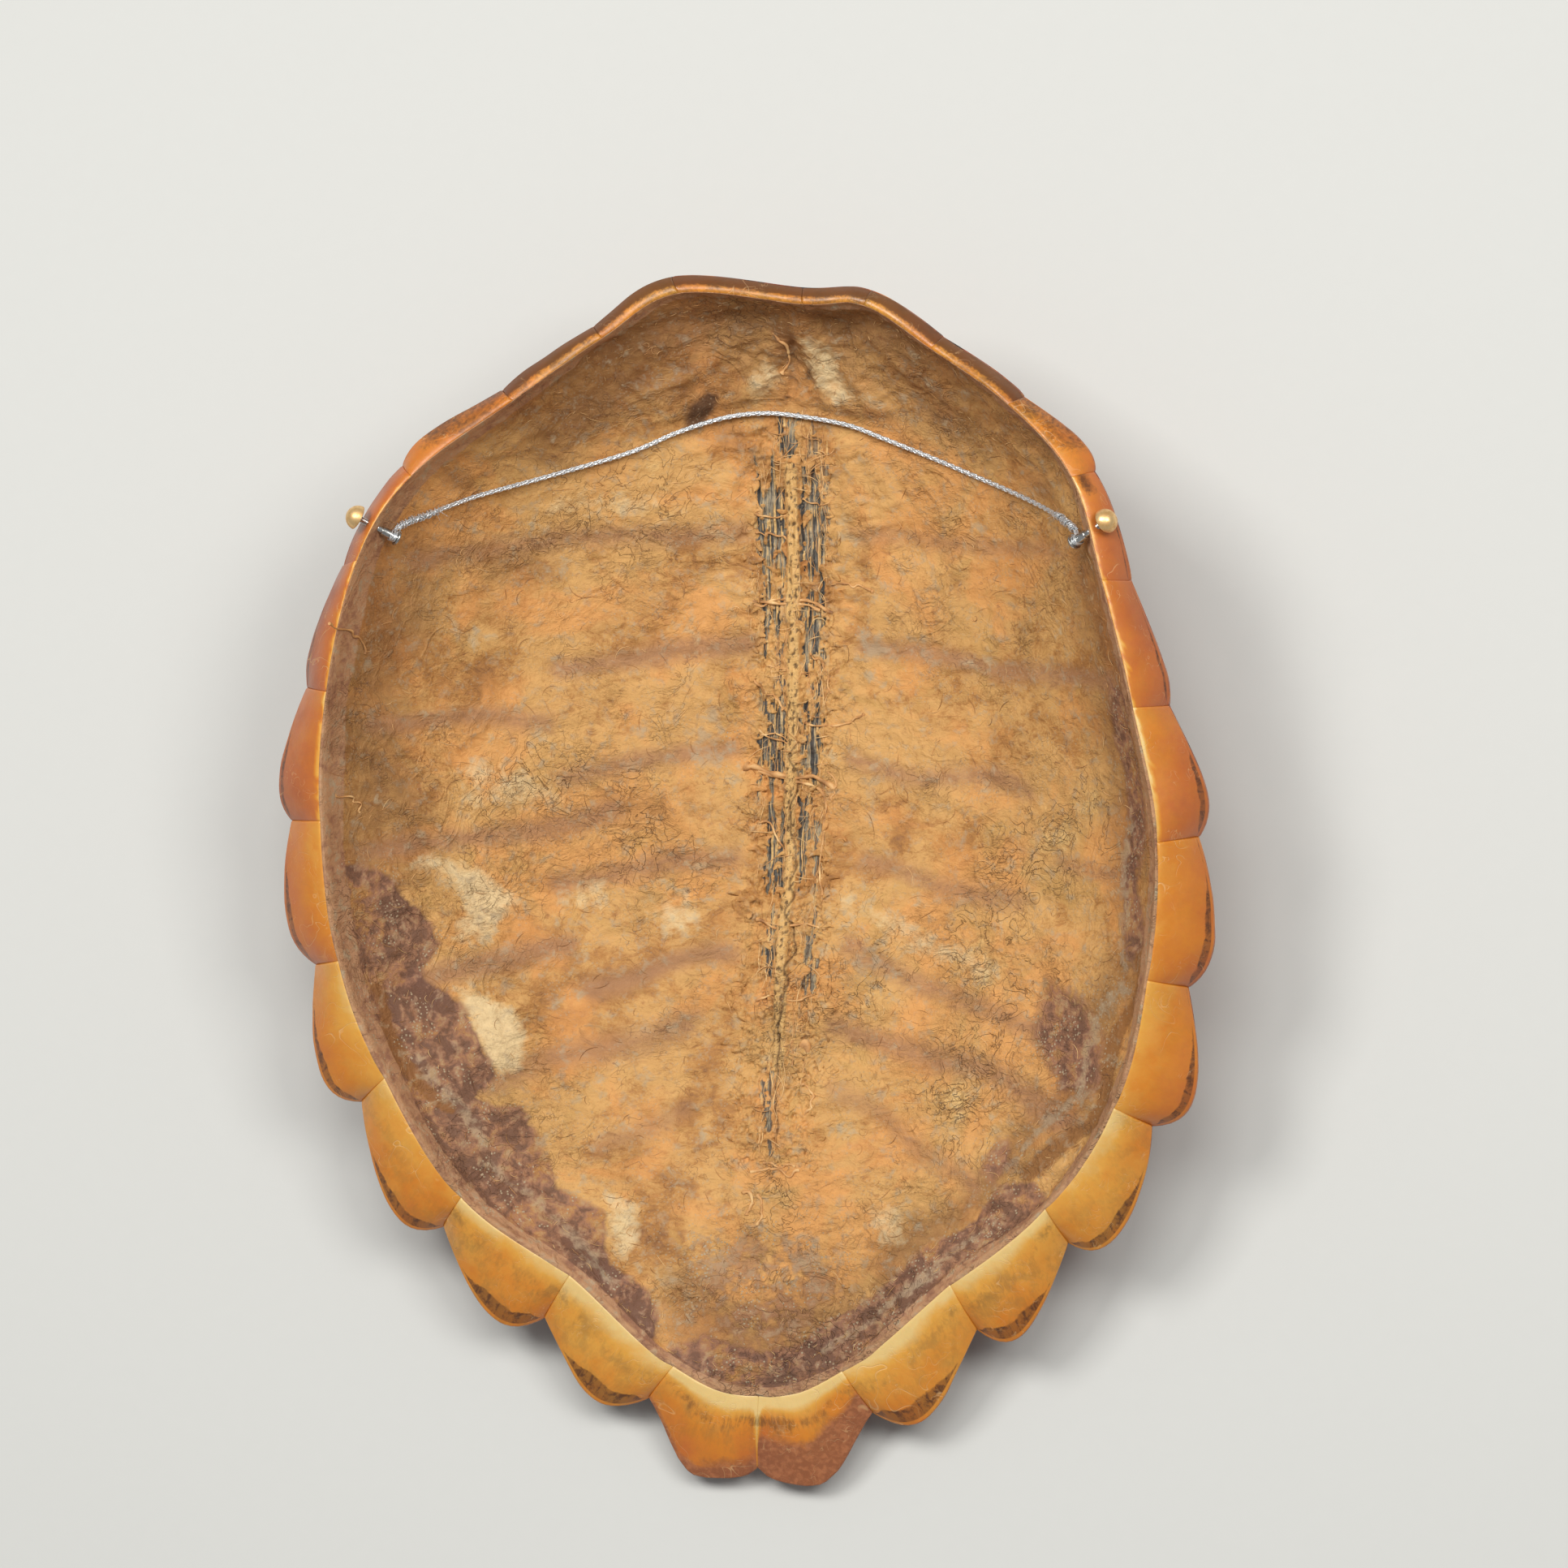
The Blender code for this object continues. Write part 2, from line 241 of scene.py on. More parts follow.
@dataclass
class ShellForm:
    """The shell's smooth surfaces as functions of (u, s): u counts the rim's stations from the
    head's midline, and s goes from the spine at 0 to the lip at 1."""

    wall: float = 7.0
    edge_thickness: float = 3.0
    flare_start: float = 0.68
    roundness: float = 2.2
    steepness: float = 0.65
    band_crown: float = 2.5

    def table(self, side: Side) -> Array:
        """The side's stations with its neighbour's beyond each midline: edge, lip and heights."""
        heights = np.column_stack((LIP_HEIGHT, EDGE_DROP, SPINE_Y))
        own, other = (RIGHT_RIM, LEFT_RIM) if side is Side.RIGHT else (LEFT_RIM, RIGHT_RIM)
        own = np.column_stack((own, heights))
        other = np.column_stack((other, heights))
        return np.vstack((other[1], own, other[-2]))

    def spine_height(self, y: Array) -> Array:
        """Height of the hollow's roof over y, smoothed through the profile."""
        profile = np.array(SPINE_PROFILE[::-1], float)
        at = np.interp(y, profile[:, 0], np.arange(len(profile)))
        return through(np.concatenate((profile[:1, 1], profile[:, 1], profile[-1:, 1])), at)

    def rise(self, s: Array) -> Array:
        """Share of the height from spine to lip at s: 1 less (1 - s^roundness)^steepness."""
        return 1 - np.maximum(0, 1 - s**self.roundness) ** self.steepness

    def row(self, side: Side, u: Array, scute: int | None = None) -> tuple[Array, ...]:
        """What the rows at u hang between.

        Args:
            side: Half of the shell.
            u: Places along the rim.
            scute: The marginal whose scallop the edge keeps, or None for the one at u.

        Returns:
            Free edge xy, lip xy, outward unit xy, lip height, edge drop and spine y.
        """
        u = np.clip(u, 0, SCUTES)
        values = through(self.table(side), u)
        edge, lip = values[..., 0:2], values[..., 2:4]
        outward = unit(edge - lip)
        which = np.minimum(u.astype(int), SCUTES - 1) if scute is None else np.full(u.shape, scute)
        v = np.clip(u - which, 0, 1)
        bulge = np.array(SCALLOP, float)[which] * (1 - (1 - v) ** 1.5) * (1 - v**6) / 0.72
        tail = np.interp(v, np.linspace(0, 1, len(TAIL_BULGE)), TAIL_BULGE)
        bulge = np.where(which == SCUTES - 1, tail, bulge)
        edge = edge + outward * bulge[..., None]
        return edge, lip, outward, values[..., 4], values[..., 5], values[..., 6]

    def hollow(self, side: Side, u: Array, s: Array) -> Array:
        """Inner surface: straight in plan from spine to lip, with the roof's height plus the
        share rise(s) of what is left up to the lip.

        Args:
            side: Half of the shell.
            u: Places along the rim.
            s: Places from spine to lip.

        Returns:
            Points in mm.
        """
        _, lip, _, lip_z, _, spine_y = self.row(side, u)
        root = np.stack((np.zeros_like(spine_y), spine_y), -1)
        xy = root + s[..., None] * (lip - root)
        z = self.spine_height(xy[..., 1]) + (lip_z - self.spine_height(lip[..., 1])) * self.rise(s)
        return np.concatenate((xy, z[..., None]), -1)

    def underside(self, side: Side, u: Array, b: Array, scute: int | None = None) -> Array:
        """Flat underside of the rim from the lip at b = 0 to the free edge at b = 1, crowned by
        a half sine.

        Args:
            side: Half of the shell.
            u: Places along the rim.
            b: Places across the rim.
            scute: The marginal whose scallop the edge keeps.

        Returns:
            Points in mm.
        """
        edge, lip, _, lip_z, drop, _ = self.row(side, u, scute)
        xy = lip + b[..., None] * (edge - lip)
        z = lip_z - b * drop + self.band_crown * np.sin(math.pi * b)
        return np.concatenate((xy, z[..., None]), -1)

    def back(self, side: Side, u: Array, s: Array, scute: int | None = None) -> Array:
        """Outer surface: the hollow's shape one wall lower, flaring smoothly out to meet the
        free edge from below at s = 1.

        Args:
            side: Half of the shell.
            u: Places along the rim.
            s: Places from spine to edge.
            scute: The marginal whose scallop the edge keeps.

        Returns:
            Points in mm.
        """
        edge, lip, outward, lip_z, drop, spine_y = self.row(side, u, scute)
        foot = lip + outward * self.wall
        root = np.stack((np.zeros_like(spine_y), spine_y), -1)
        xy = root + s[..., None] * (foot - root)
        climb = lip_z - self.spine_height(foot[..., 1]) + self.wall
        z = self.spine_height(xy[..., 1]) - self.wall + climb * self.rise(s)
        dome = np.concatenate((xy, z[..., None]), -1)
        under = np.concatenate((edge, (lip_z - drop - self.edge_thickness)[..., None]), -1)
        share = smooth((s - self.flare_start) / (1 - self.flare_start))
        return dome + share[..., None] * (under - dome)


FORM = ShellForm()


# ---------------------------------------------------------------------------------------------
# Meshes
# ---------------------------------------------------------------------------------------------


def grid_faces(rows: int, cols: int, start: int = 0, closed_rows: bool = False) -> Array:
    """Quads of a grid of points, turned along rows then along columns.

    Args:
        rows: Number of rows.
        cols: Points in a row.
        start: Index of the first point.
        closed_rows: Whether the last row joins the first.

    Returns:
        One row of four indices for each quad.
    """
    i = np.arange(rows if closed_rows else rows - 1)[:, None]
    j = np.arange(cols - 1)[None, :]
    a = i * cols + j
    b = ((i + 1) % rows) * cols + j
    return np.stack((a, b, b + 1, a + 1), -1).reshape(-1, 4) + start


def slab(top: Array, bottom: Array, flip: bool) -> Solid:
    """A closed solid between two grids of the same size: both faces and the four sides.

    Args:
        top: Outer points, rows by columns.
        bottom: Inner points, the same way.
        flip: Whether the grid runs the mirrored way, so faces have to turn round.

    Returns:
        Points and quads.
    """
    rows, cols = top.shape[:2]
    index = np.arange(rows * cols).reshape(rows, cols)
    over = grid_faces(rows, cols)
    under = over[:, ::-1] + rows * cols
    loop = np.concatenate((index[0, :-1], index[:-1, -1], index[-1, :0:-1], index[:0:-1, 0]))
    after = np.roll(loop, -1)
    sides = np.stack((loop, after, after + rows * cols, loop + rows * cols), -1)
    faces = np.concatenate((over, under, sides))
    points = np.concatenate((top.reshape(-1, 3), bottom.reshape(-1, 3)))
    return points, faces[:, ::-1] if flip else faces


def sweep(paths: Array, radii: Array, sides: int, ahead: Any = (0, 0, 1)) -> Solid:
    """Round tubes carried along many paths at once, closed by a fan of quads at each end: each
    ring is the path's point plus a circle square to the path.

    Args:
        paths: Points, tubes by rings by three, in mm.
        radii: Radius at each ring, tubes by rings.
        sides: Points round a ring, an even number.
        ahead: A direction that no path runs along, or one for each point, which sets where
            each ring starts.

    Returns:
        Points and faces of four indices.
    """
    tubes, rings = paths.shape[:2]
    tangent = unit(np.gradient(paths, axis=1))
    across = unit(np.cross(tangent, np.array(ahead, float)))
    up = np.cross(across, tangent)
    angle = np.arange(sides) / sides * 2 * math.pi
    circle = np.cos(angle)[:, None] * across[:, :, None] + np.sin(angle)[:, None] * up[:, :, None]
    points = paths[:, :, None] + radii[..., None, None] * circle
    first = (np.arange(tubes) * rings * sides)[:, None, None]
    i = np.arange(rings - 1)[None, :, None] * sides
    j = np.arange(sides)[None, None, :]
    k = (j + 1) % sides
    walls = np.stack(
        np.broadcast_arrays(first + i + j, first + i + k, first + i + sides + k, first + i + sides + j), -1
    )
    fan = np.arange(sides // 2 - 1)[None, :]
    near = np.stack(
        (
            fan * 0 + sides // 2 - 1 - fan, fan * 0 + sides // 2 - 2 - fan, sides // 2 + 1 + fan,
            sides // 2 + fan
        ),
        -1
    )
    near = np.broadcast_to(near, (tubes, sides // 2 - 1, 4)) % sides
    near_faces = near + first
    far_faces = near[..., ::-1] + first + (rings - 1) * sides
    faces = np.concatenate((walls.reshape(-1, 4), near_faces.reshape(-1, 4), far_faces.reshape(-1, 4)))
    return points.reshape(-1, 3), faces[:, ::-1]


def joined(parts: Sequence[Solid]) -> Solid:
    """Several (points, faces) pairs as one, with the indices moved along.

    Args:
        parts: The pairs.

    Returns:
        One pair.
    """
    starts = np.cumsum([0] + [len(points) for points, _ in parts])
    faces = np.concatenate([faces + start for (_, faces), start in zip(parts, starts)])
    return np.concatenate([points for points, _ in parts]), faces


def make_piece(
    name: str,
    points: Array,
    faces: Array,
    material: Material,
    values: dict[str, Array] | None = None,
    sharp_deg: float = 50.0,
    merge: float = 0.0,
    replaces: Sequence[str] = (),
) -> Object:
    """Makes a mesh object of shell-frame points in the row's frame and rides it on the shell.

    Args:
        name: Piece name.
        points: Points in mm in the shell's frame.
        faces: Quads or triangles as rows of indices.
        material: Its finish.
        values: Attributes by name: one number, or three, for each point.
        sharp_deg: Faces that meet at more than this angle keep a hard edge.
        merge: Distance in mm within which points are merged, or 0 for none.
        replaces: CAD nodes that it stands for.

    Returns:
        The object.
    """
    mesh = bpy.data.meshes.new(name)
    mesh.from_pydata(REST.place(points).tolist(), [], faces.tolist())
    for key, value in (values or {}).items():
        value = np.asarray(value, np.float32)
        kind, channel = ("FLOAT", "value") if value.ndim == 1 else ("FLOAT_VECTOR", "vector")
        mesh.attributes.new(key, kind, "POINT").data.foreach_set(channel, value.ravel())
    if merge:
        form = bmesh.new()
        form.from_mesh(mesh)
        bmesh.ops.remove_doubles(form, verts=form.verts, dist=merge * MM)
        form.to_mesh(mesh)
        form.free()
    mesh.validate()
    mesh.shade_smooth()
    mesh.set_sharp_from_angle(angle=math.radians(sharp_deg))
    mesh.materials.append(material)
    piece = bpy.data.objects.new(name, mesh)
    bpy.context.scene.collection.objects.link(piece)
    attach(piece, "root")
    if replaces:
        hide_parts(*replaces)
    LOG.info("%s: %d points, %d faces", name, len(mesh.vertices), len(mesh.polygons))
    return piece


# ---------------------------------------------------------------------------------------------
# Shader building
# ---------------------------------------------------------------------------------------------

Socket = bpy.types.NodeSocket
Value = Any


class Tree:
    """Short calls that add nodes to one node tree and join them."""

    def __init__(self, tree: NodeTree) -> None:
        """Keeps the tree to add to."""
        self.tree = tree

    def node(self, kind: str, inputs: dict[Any, Value] | None = None, **settings: Any) -> bpy.types.Node:
        """Adds a node.

        Args:
            kind: Blender's node type.
            inputs: Numbers, colours or sockets by input name or index.
            settings: The node's own properties.

        Returns:
            The node.
        """
        made = self.tree.nodes.new(kind)
        for key, value in settings.items():
            setattr(made, key, value)
        for key, value in (inputs or {}).items():
            self.feed(made.inputs[key], value)
        return made

    def feed(self, socket: Socket, value: Value) -> None:
        """Links a socket to the input, or sets it to a number, vector or colour."""
        if isinstance(value, bpy.types.NodeSocket):
            self.tree.links.new(value, socket)
        elif isinstance(value, (tuple, list)) and socket.type == "RGBA" and len(value) == 3:
            socket.default_value = (*value, 1.0)
        else:
            socket.default_value = value

    def coords(self) -> Socket:
        """Object coordinates in metres."""
        return self.node("ShaderNodeTexCoord").outputs["Object"]

    def attribute(self, name: str) -> Socket:
        """A number stored on the mesh's points."""
        return self.node("ShaderNodeAttribute", attribute_name=name).outputs["Fac"]

    def vector_attribute(self, name: str) -> Socket:
        """A vector stored on the mesh's points."""
        return self.node("ShaderNodeAttribute", attribute_name=name).outputs["Vector"]

    def scaled(self, vector: Socket, scale: Color) -> Socket:
        """The vector times a scale along each axis."""
        return self.node("ShaderNodeMapping", {"Vector": vector, "Scale": scale}).outputs[0]

    def noise(
        self, vector: Socket, scale: float, detail: float = 4.0, rough: float = 0.55, warp: float = 0.0
    ) -> Socket:
        """Fractal noise, about 0 to 1.

        Args:
            vector: Coordinates.
            scale: Cycles for each metre.
            detail: Octaves.
            rough: Strength of the finer octaves.
            warp: Distortion.

        Returns:
            The value socket.
        """
        values = {"Vector": vector, "Scale": scale, "Detail": detail, "Roughness": rough, "Distortion": warp}
        return self.node("ShaderNodeTexNoise", values).outputs["Fac"]

    def crease(
        self, vector: Socket, scale: float, width: float, warp: float = 1.0, detail: float = 2.0
    ) -> Socket:
        """Thin wandering lines where warped noise passes its middle: 1 on a line, 0 a width off."""
        off = self.math("ABSOLUTE", self.math("SUBTRACT", self.noise(vector, scale, detail, 0.5, warp), 0.5))
        return self.math("SUBTRACT", 1.0, self.math("DIVIDE", off, width), clamp=True)

    def split(self, vector: Socket) -> list[Socket]:
        """The vector's three numbers."""
        return list(self.node("ShaderNodeSeparateXYZ", {0: vector}).outputs)

    def math(self, kind: str, a: Value, b: Value = 0.0, c: Value = 0.0, clamp: bool = False) -> Socket:
        """One sum of up to three numbers."""
        return self.node("ShaderNodeMath", {0: a, 1: b, 2: c}, operation=kind, use_clamp=clamp).outputs[0]

    def remap(self, value: Value, low: float, high: float, to: tuple[float, float] = (0.0, 1.0)) -> Socket:
        """The value eased from low..high to the new range and held inside it."""
        inputs = {"Value": value, "From Min": low, "From Max": high, "To Min": to[0], "To Max": to[1]}
        return self.node("ShaderNodeMapRange", inputs, interpolation_type="SMOOTHSTEP").outputs[0]

    def mix(self, share: Value, a: Value, b: Value, blend: str = "MIX") -> Socket:
        """Colour a changed towards colour b by the share."""
        made = self.node("ShaderNodeMix", data_type="RGBA", blend_type=blend)
        for key, value in ((0, share), (6, a), (7, b)):
            self.feed(made.inputs[key], value)
        return made.outputs[2]

    def lay(self, under: Value, over: Value, mask: Value, most: float) -> Socket:
        """The under colour with the over colour laid on it by the mask times the most."""
        return self.mix(self.math("MULTIPLY", mask, most), under, over)

    def add_up(self, first: tuple[Value, float], *more: tuple[Value, float]) -> Socket:
        """The sum of values, each times its own number."""
        total = self.math("MULTIPLY", *first)
        for value, times in more:
            total = self.math("MULTIPLY_ADD", value, times, total)
        return total

    def ramp(self, value: Value, stops: Sequence[tuple[float, Color]]) -> Socket:
        """A colour ramp through the stops.

        Args:
            value: Place along the ramp.
            stops: Places and colours in order.

        Returns:
            The colour socket.
        """
        made = self.node("ShaderNodeValToRGB", {0: value})
        ramp = made.color_ramp
        while len(ramp.elements) < len(stops):
            ramp.elements.new(0.5)
        for element, (place, color) in zip(ramp.elements, stops):
            element.position = place
            element.color = (*color, 1.0)
        return made.outputs["Color"]

    def frayed(self, mask: Value, noise: Value, reach: float = 0.5, crisp: float = 4.0) -> Socket:
        """A soft mask given a ragged edge: (mask + (noise - 1/2) * reach - 1/2) * crisp + 1/2."""
        moved = self.math("MULTIPLY_ADD", self.math("SUBTRACT", noise, 0.5), reach, mask)
        return self.math("MULTIPLY_ADD", self.math("SUBTRACT", moved, 0.5), crisp, 0.5, clamp=True)

    def bump(
        self, height: Socket, distance_mm: float, strength: float = 1.0, normal: Socket | None = None
    ) -> Socket:
        """A bumped normal from a height of 0 to 1 that stands for the distance."""
        inputs = {"Height": height, "Distance": distance_mm * MM, "Strength": strength}
        if normal is not None:
            inputs["Normal"] = normal
        return self.node("ShaderNodeBump", inputs).outputs[0]

    def group(self, tree: NodeTree, inputs: dict[str, Value]) -> bpy.types.Node:
        """Places a node group with its inputs fed."""
        made = self.node("ShaderNodeGroup", node_tree=tree)
        for key, value in inputs.items():
            self.feed(made.inputs[key], value)
        return made


def new_group(
    name: str, inputs: dict[str, tuple[str, Any]], outputs: Sequence[tuple[str, str]]
) -> tuple[Tree, Any, Any]:
    """Starts a shader node group.

    Args:
        name: The group's name.
        inputs: Socket type and default by input name.
        outputs: Output names and socket types.

    Returns:
        The tree's helper, its input node's outputs and its output node's inputs.
    """
    tree = bpy.data.node_groups.new(name, "ShaderNodeTree")
    for key, (kind, default) in inputs.items():
        socket = tree.interface.new_socket(key, in_out="INPUT", socket_type=f"NodeSocket{kind}")
        if default is not None:
            socket.default_value = default
    for key, kind in outputs:
        tree.interface.new_socket(key, in_out="OUTPUT", socket_type=f"NodeSocket{kind}")
    helper = Tree(tree)
    return helper, helper.node("NodeGroupInput").outputs, helper.node("NodeGroupOutput").inputs


def mottle_group() -> NodeTree:
    """Clouds at three sizes, each 3.4 to 3.8 times finer than the last: a broad, a middle and a fine value."""
    tree, given, put = new_group(
        "mottle", {"Vector": ("Vector", None), "Size": ("Float", 10.0)},
        (("Broad", "Float"), ("Middle", "Float"), ("Fine", "Float")),
    )
    for key, times, detail in (("Broad", 1.0, 3.0), ("Middle", 3.4, 4.0), ("Fine", 13.0, 3.0)):
        scale = tree.math("MULTIPLY", given["Size"], times)
        tree.feed(put[key], tree.noise(given["Vector"], scale, detail, 0.6, 0.3))
    return tree.tree


def scratch_group() -> NodeTree:
    """Thin broken lines: where stretched, warped noise passes through its middle, kept only in
    patches. Gives a mask."""
    tree, given, put = new_group(
        "scratches", {"Vector": ("Vector", None), "Size": ("Float", 60.0), "Width": ("Float", 0.012)},
        (("Mask", "Float"),),
    )
    lines = tree.noise(given["Vector"], given["Size"], 1.0, 0.4, 1.2)
    off = tree.math("ABSOLUTE", tree.math("SUBTRACT", lines, 0.5))
    thin = tree.math("SUBTRACT", 1.0, tree.math("DIVIDE", off, given["Width"]), clamp=True)
    patch = tree.noise(given["Vector"], tree.math("MULTIPLY", given["Size"], 0.45), 2.0)
    kept = tree.remap(patch, 0.53, 0.62)
    tree.feed(put["Mask"], tree.math("MULTIPLY", thin, kept))
    return tree.tree


def speck_group() -> NodeTree:
    """Small separate grains: cells whose centre is near, in patches. Gives a mask."""
    tree, given, put = new_group(
        "specks", {"Vector": ("Vector", None), "Size": ("Float", 400.0), "Amount": ("Float", 0.5)},
        (("Mask", "Float"),),
    )
    cells = tree.node("ShaderNodeTexVoronoi", {"Vector": given["Vector"], "Scale": given["Size"]})
    near = tree.remap(cells.outputs["Distance"], 0.36, 0.18)
    patch = tree.noise(given["Vector"], tree.math("MULTIPLY", given["Size"], 0.13), 3.0)
    kept = tree.math("GREATER_THAN", tree.math("ADD", patch, given["Amount"]), 1.0)
    tree.feed(put["Mask"], tree.math("MULTIPLY", near, kept))
    return tree.tree


@dataclass
class Effects:
    """The node groups that several finishes share."""

    mottle: NodeTree = field(default_factory=mottle_group)
    scratches: NodeTree = field(default_factory=scratch_group)
    specks: NodeTree = field(default_factory=speck_group)


def new_material(name: str) -> tuple[Material, Tree, bpy.types.Node]:
    """A node material with its Principled shader.

    Args:
        name: Material name.

    Returns:
        The material, its tree's helper and the shader node.
    """
    material = bpy.data.materials.new(name)
    material.use_nodes = True
    shader = material.node_tree.nodes["Principled BSDF"]
    return material, Tree(material.node_tree), shader


# ---------------------------------------------------------------------------------------------
# Finishes
# ---------------------------------------------------------------------------------------------


@dataclass(frozen=True)
class MembraneFinish:
    """Dried, fibrous membrane over the bone of the hollow, with the bare bone of the lip."""

    deep: Color = srgb(134, 88, 46)
    brown: Color = srgb(178, 124, 64)
    tan: Color = srgb(210, 160, 94)
    light: Color = srgb(230, 190, 122)
    orange: Color = srgb(224, 154, 84)
    olive: Color = srgb(196, 152, 84)
    umber: Color = srgb(118, 74, 38)
    mauve: Color = srgb(152, 106, 80)
    plum: Color = srgb(106, 72, 58)
    stripe: Color = srgb(164, 118, 82)
    cream: Color = srgb(232, 206, 156)
    ash: Color = srgb(174, 154, 124)
    soot: Color = srgb(44, 42, 40)
    slate: Color = srgb(82, 78, 72)
    dust: Color = srgb(156, 142, 116)
    chalk: Color = srgb(208, 200, 178)
    pore: Color = srgb(66, 44, 28)
    straw: Color = srgb(222, 182, 118)
    bone: Color = srgb(184, 138, 100)
    rust: Color = srgb(138, 90, 44)
    roughness: float = 0.74

    def build(self, effects: Effects) -> Material:
        """Makes the material.

        Args:
            effects: Shared node groups.

        Returns:
            The material.
        """
        material, t, shader = new_material("dried_membrane")
        where, plan = t.coords(), t.vector_attribute("plan")
        cloud = t.group(effects.mottle, {"Vector": where, "Size": 10.0}).outputs
        fibres = t.noise(t.scaled(where, (0.75, 1.3, 1.0)), 85, 6, 0.7, 1.7)
        fuzz = t.noise(t.scaled(where, (0.8, 1.2, 1.0)), 430, 4, 0.7, 1.0)
        rugged = t.remap(t.noise(where, 12, 3, 0.6, 0.7), 0.42, 0.62, (0.1, 1.1))
        folds = t.crease(where, 26, 0.07, 1.3, 4)
        wrinkles = t.crease(t.scaled(where, (0.8, 1.4, 1.0)), 58, 0.05, 1.6, 3)
        cracks = t.math("MULTIPLY", t.crease(where, 45, 0.012, 1.8, 3), t.remap(cloud["Broad"], 0.5, 0.64))
        tone = t.add_up((cloud["Middle"], 0.24), (cloud["Broad"], 0.36), (fibres, 0.24), (fuzz, 0.1))
        tone = t.math("ADD", tone, 0.018)
        color = t.ramp(
            tone, (
                (0.36, self.deep), (0.43, self.brown), (0.485, self.tan), (0.55, self.tan),
                (0.62, self.light)
            ),
        )
        warm = t.remap(t.noise(where, 15, 4, 0.6, 0.8), 0.46, 0.62)
        color = t.lay(color, self.orange, warm, 0.6)
        cool = t.remap(t.noise(where, 23, 4, 0.65, 0.8), 0.56, 0.7)
        color = t.lay(color, self.olive, cool, 0.5)
        color = self.stained_and_shaded(t, color, cloud, fibres)
        color = self.column(t, color, plan)
        # Painted shade: umber laid along the low wrinkle lines, which the height below also sinks. The cracks'
        # dark lines are partly the membrane's own colour and partly painted shade in the cracks.
        low = t.math("MULTIPLY", wrinkles, t.math("MULTIPLY", rugged, t.remap(cloud["Middle"], 0.42, 0.62)))
        color = t.lay(color, self.umber, low, 0.3)
        color = t.lay(color, self.umber, cracks, 0.6)
        hairs = t.group(effects.scratches, {"Vector": where, "Size": 110.0, "Width": 0.016}).outputs[0]
        color = t.lay(color, self.plum, hairs, 0.5)
        dots = t.group(effects.specks, {"Vector": where, "Size": 420.0, "Amount": 0.46}).outputs[0]
        color = t.mix(t.math("MULTIPLY", dots, t.attribute("speckled")), color, self.ash)
        # Painted shade: the deep colour laid where the fibre relief is lowest, in the hollows between the
        # fibres.
        fibre_hollow_shade = t.remap(t.math("MULTIPLY_ADD", fibres, 0.6, t.math("MULTIPLY", fuzz, 0.4)), 0.5, 0.36)
        color = t.mix(t.math("MULTIPLY", t.math("MULTIPLY", fibre_hollow_shade, rugged), 0.36), color, self.deep)
        t.feed(shader.inputs["Base Color"], color)
        t.feed(
            shader.inputs["Roughness"],
            t.remap(fibres, 0.3, 0.7, (self.roughness - 0.14, self.roughness + 0.14))
        )
        height = t.add_up(
            (fibres, 0.8), (
                cloud["Fine"], 0.5
            ), (folds, 0.3), (low, -0.22), (cracks, -0.3), (hairs, 0.14), (fuzz, 0.26)
        )
        height = t.math("MULTIPLY", height, t.math("MULTIPLY_ADD", rugged, 0.6, 0.4))
        t.feed(shader.inputs["Normal"], t.bump(height, 2.7, 1.0))
        return material

    def stained_and_shaded(self, t: Tree, color: Socket, cloud: Any, fibres: Socket) -> Socket:
        """Lays the stains and the painted shade over the membrane: each is a soft patch with a ragged edge.

        Args:
            t: Tree helper.
            color: Colour so far.
            cloud: The mottle group's outputs.
            fibres: Fibre noise.

        Returns:
            The stained colour.
        """
        both = t.math("MULTIPLY", t.math("ADD", cloud["Fine"], cloud["Middle"]), 0.5)
        rough = t.ramp(both, ((0.38, self.plum), (0.46, self.plum), (0.53, self.mauve), (0.62, self.brown)))
        crust = t.ramp(both, ((0.4, self.mauve), (0.5, self.bone), (0.56, self.bone), (0.66, self.ash)))
        layers = (
            # The umber layer is partly the membrane's own darker brown and partly painted shade over the head
            # wall, down the sides near the rim and in the pits.
            ("umber", self.umber, both, 1.4, 1.2, 0.78),
            ("stripe", self.stripe, fibres, 2.0, 1.1, 0.85),
            ("cream", self.cream, both, 2.6, 1.7, 0.78),
            ("mauve", rough, both, 1.8, 3.0, 0.92),
            ("fibrous", self.rust, fibres, 2.4, 1.8, 0.85),
            ("bone", crust, both, 0.9, 3.0, 0.9),
            ("ash", self.ash, cloud["Fine"], 3.6, 1.5, 0.6),
        )
        for name, stain, noise, reach, crisp, most in layers:
            share = t.math("MULTIPLY", t.frayed(t.attribute(name), noise, reach, crisp), most)
            color = t.mix(share, color, stain)
        return color

    def column(self, t: Tree, color: Socket, plan: Socket) -> Socket:
        """Bare slate-dark bone streaked lengthwise with straw-coloured fibres, and the porous
        ridge along the spine.

        Args:
            t: Tree helper.
            color: Colour so far.
            plan: Plan coordinates in metres.

        Returns:
            The colour with the spine's column on it.
        """
        streaks = t.noise(t.scaled(plan, (1.0, 0.08, 1.0)), 420, 5, 0.7, 0.35)
        slate = t.ramp(
            streaks,
            ((0.36, self.soot), (0.47, self.slate), (0.56, self.dust), (0.64, self.straw), (0.74, self.chalk))
        )
        color = t.mix(t.frayed(t.attribute("slate"), streaks, 0.55, 2.4), color, slate)
        color = t.mix(t.frayed(t.attribute("straw"), streaks, 0.7, 2.2), color, self.straw)
        ridge = t.frayed(t.attribute("ridge"), streaks, 0.5, 2.0)
        color = t.mix(t.math("MULTIPLY", ridge, 0.95), color, t.mix(streaks, self.tan, self.light))
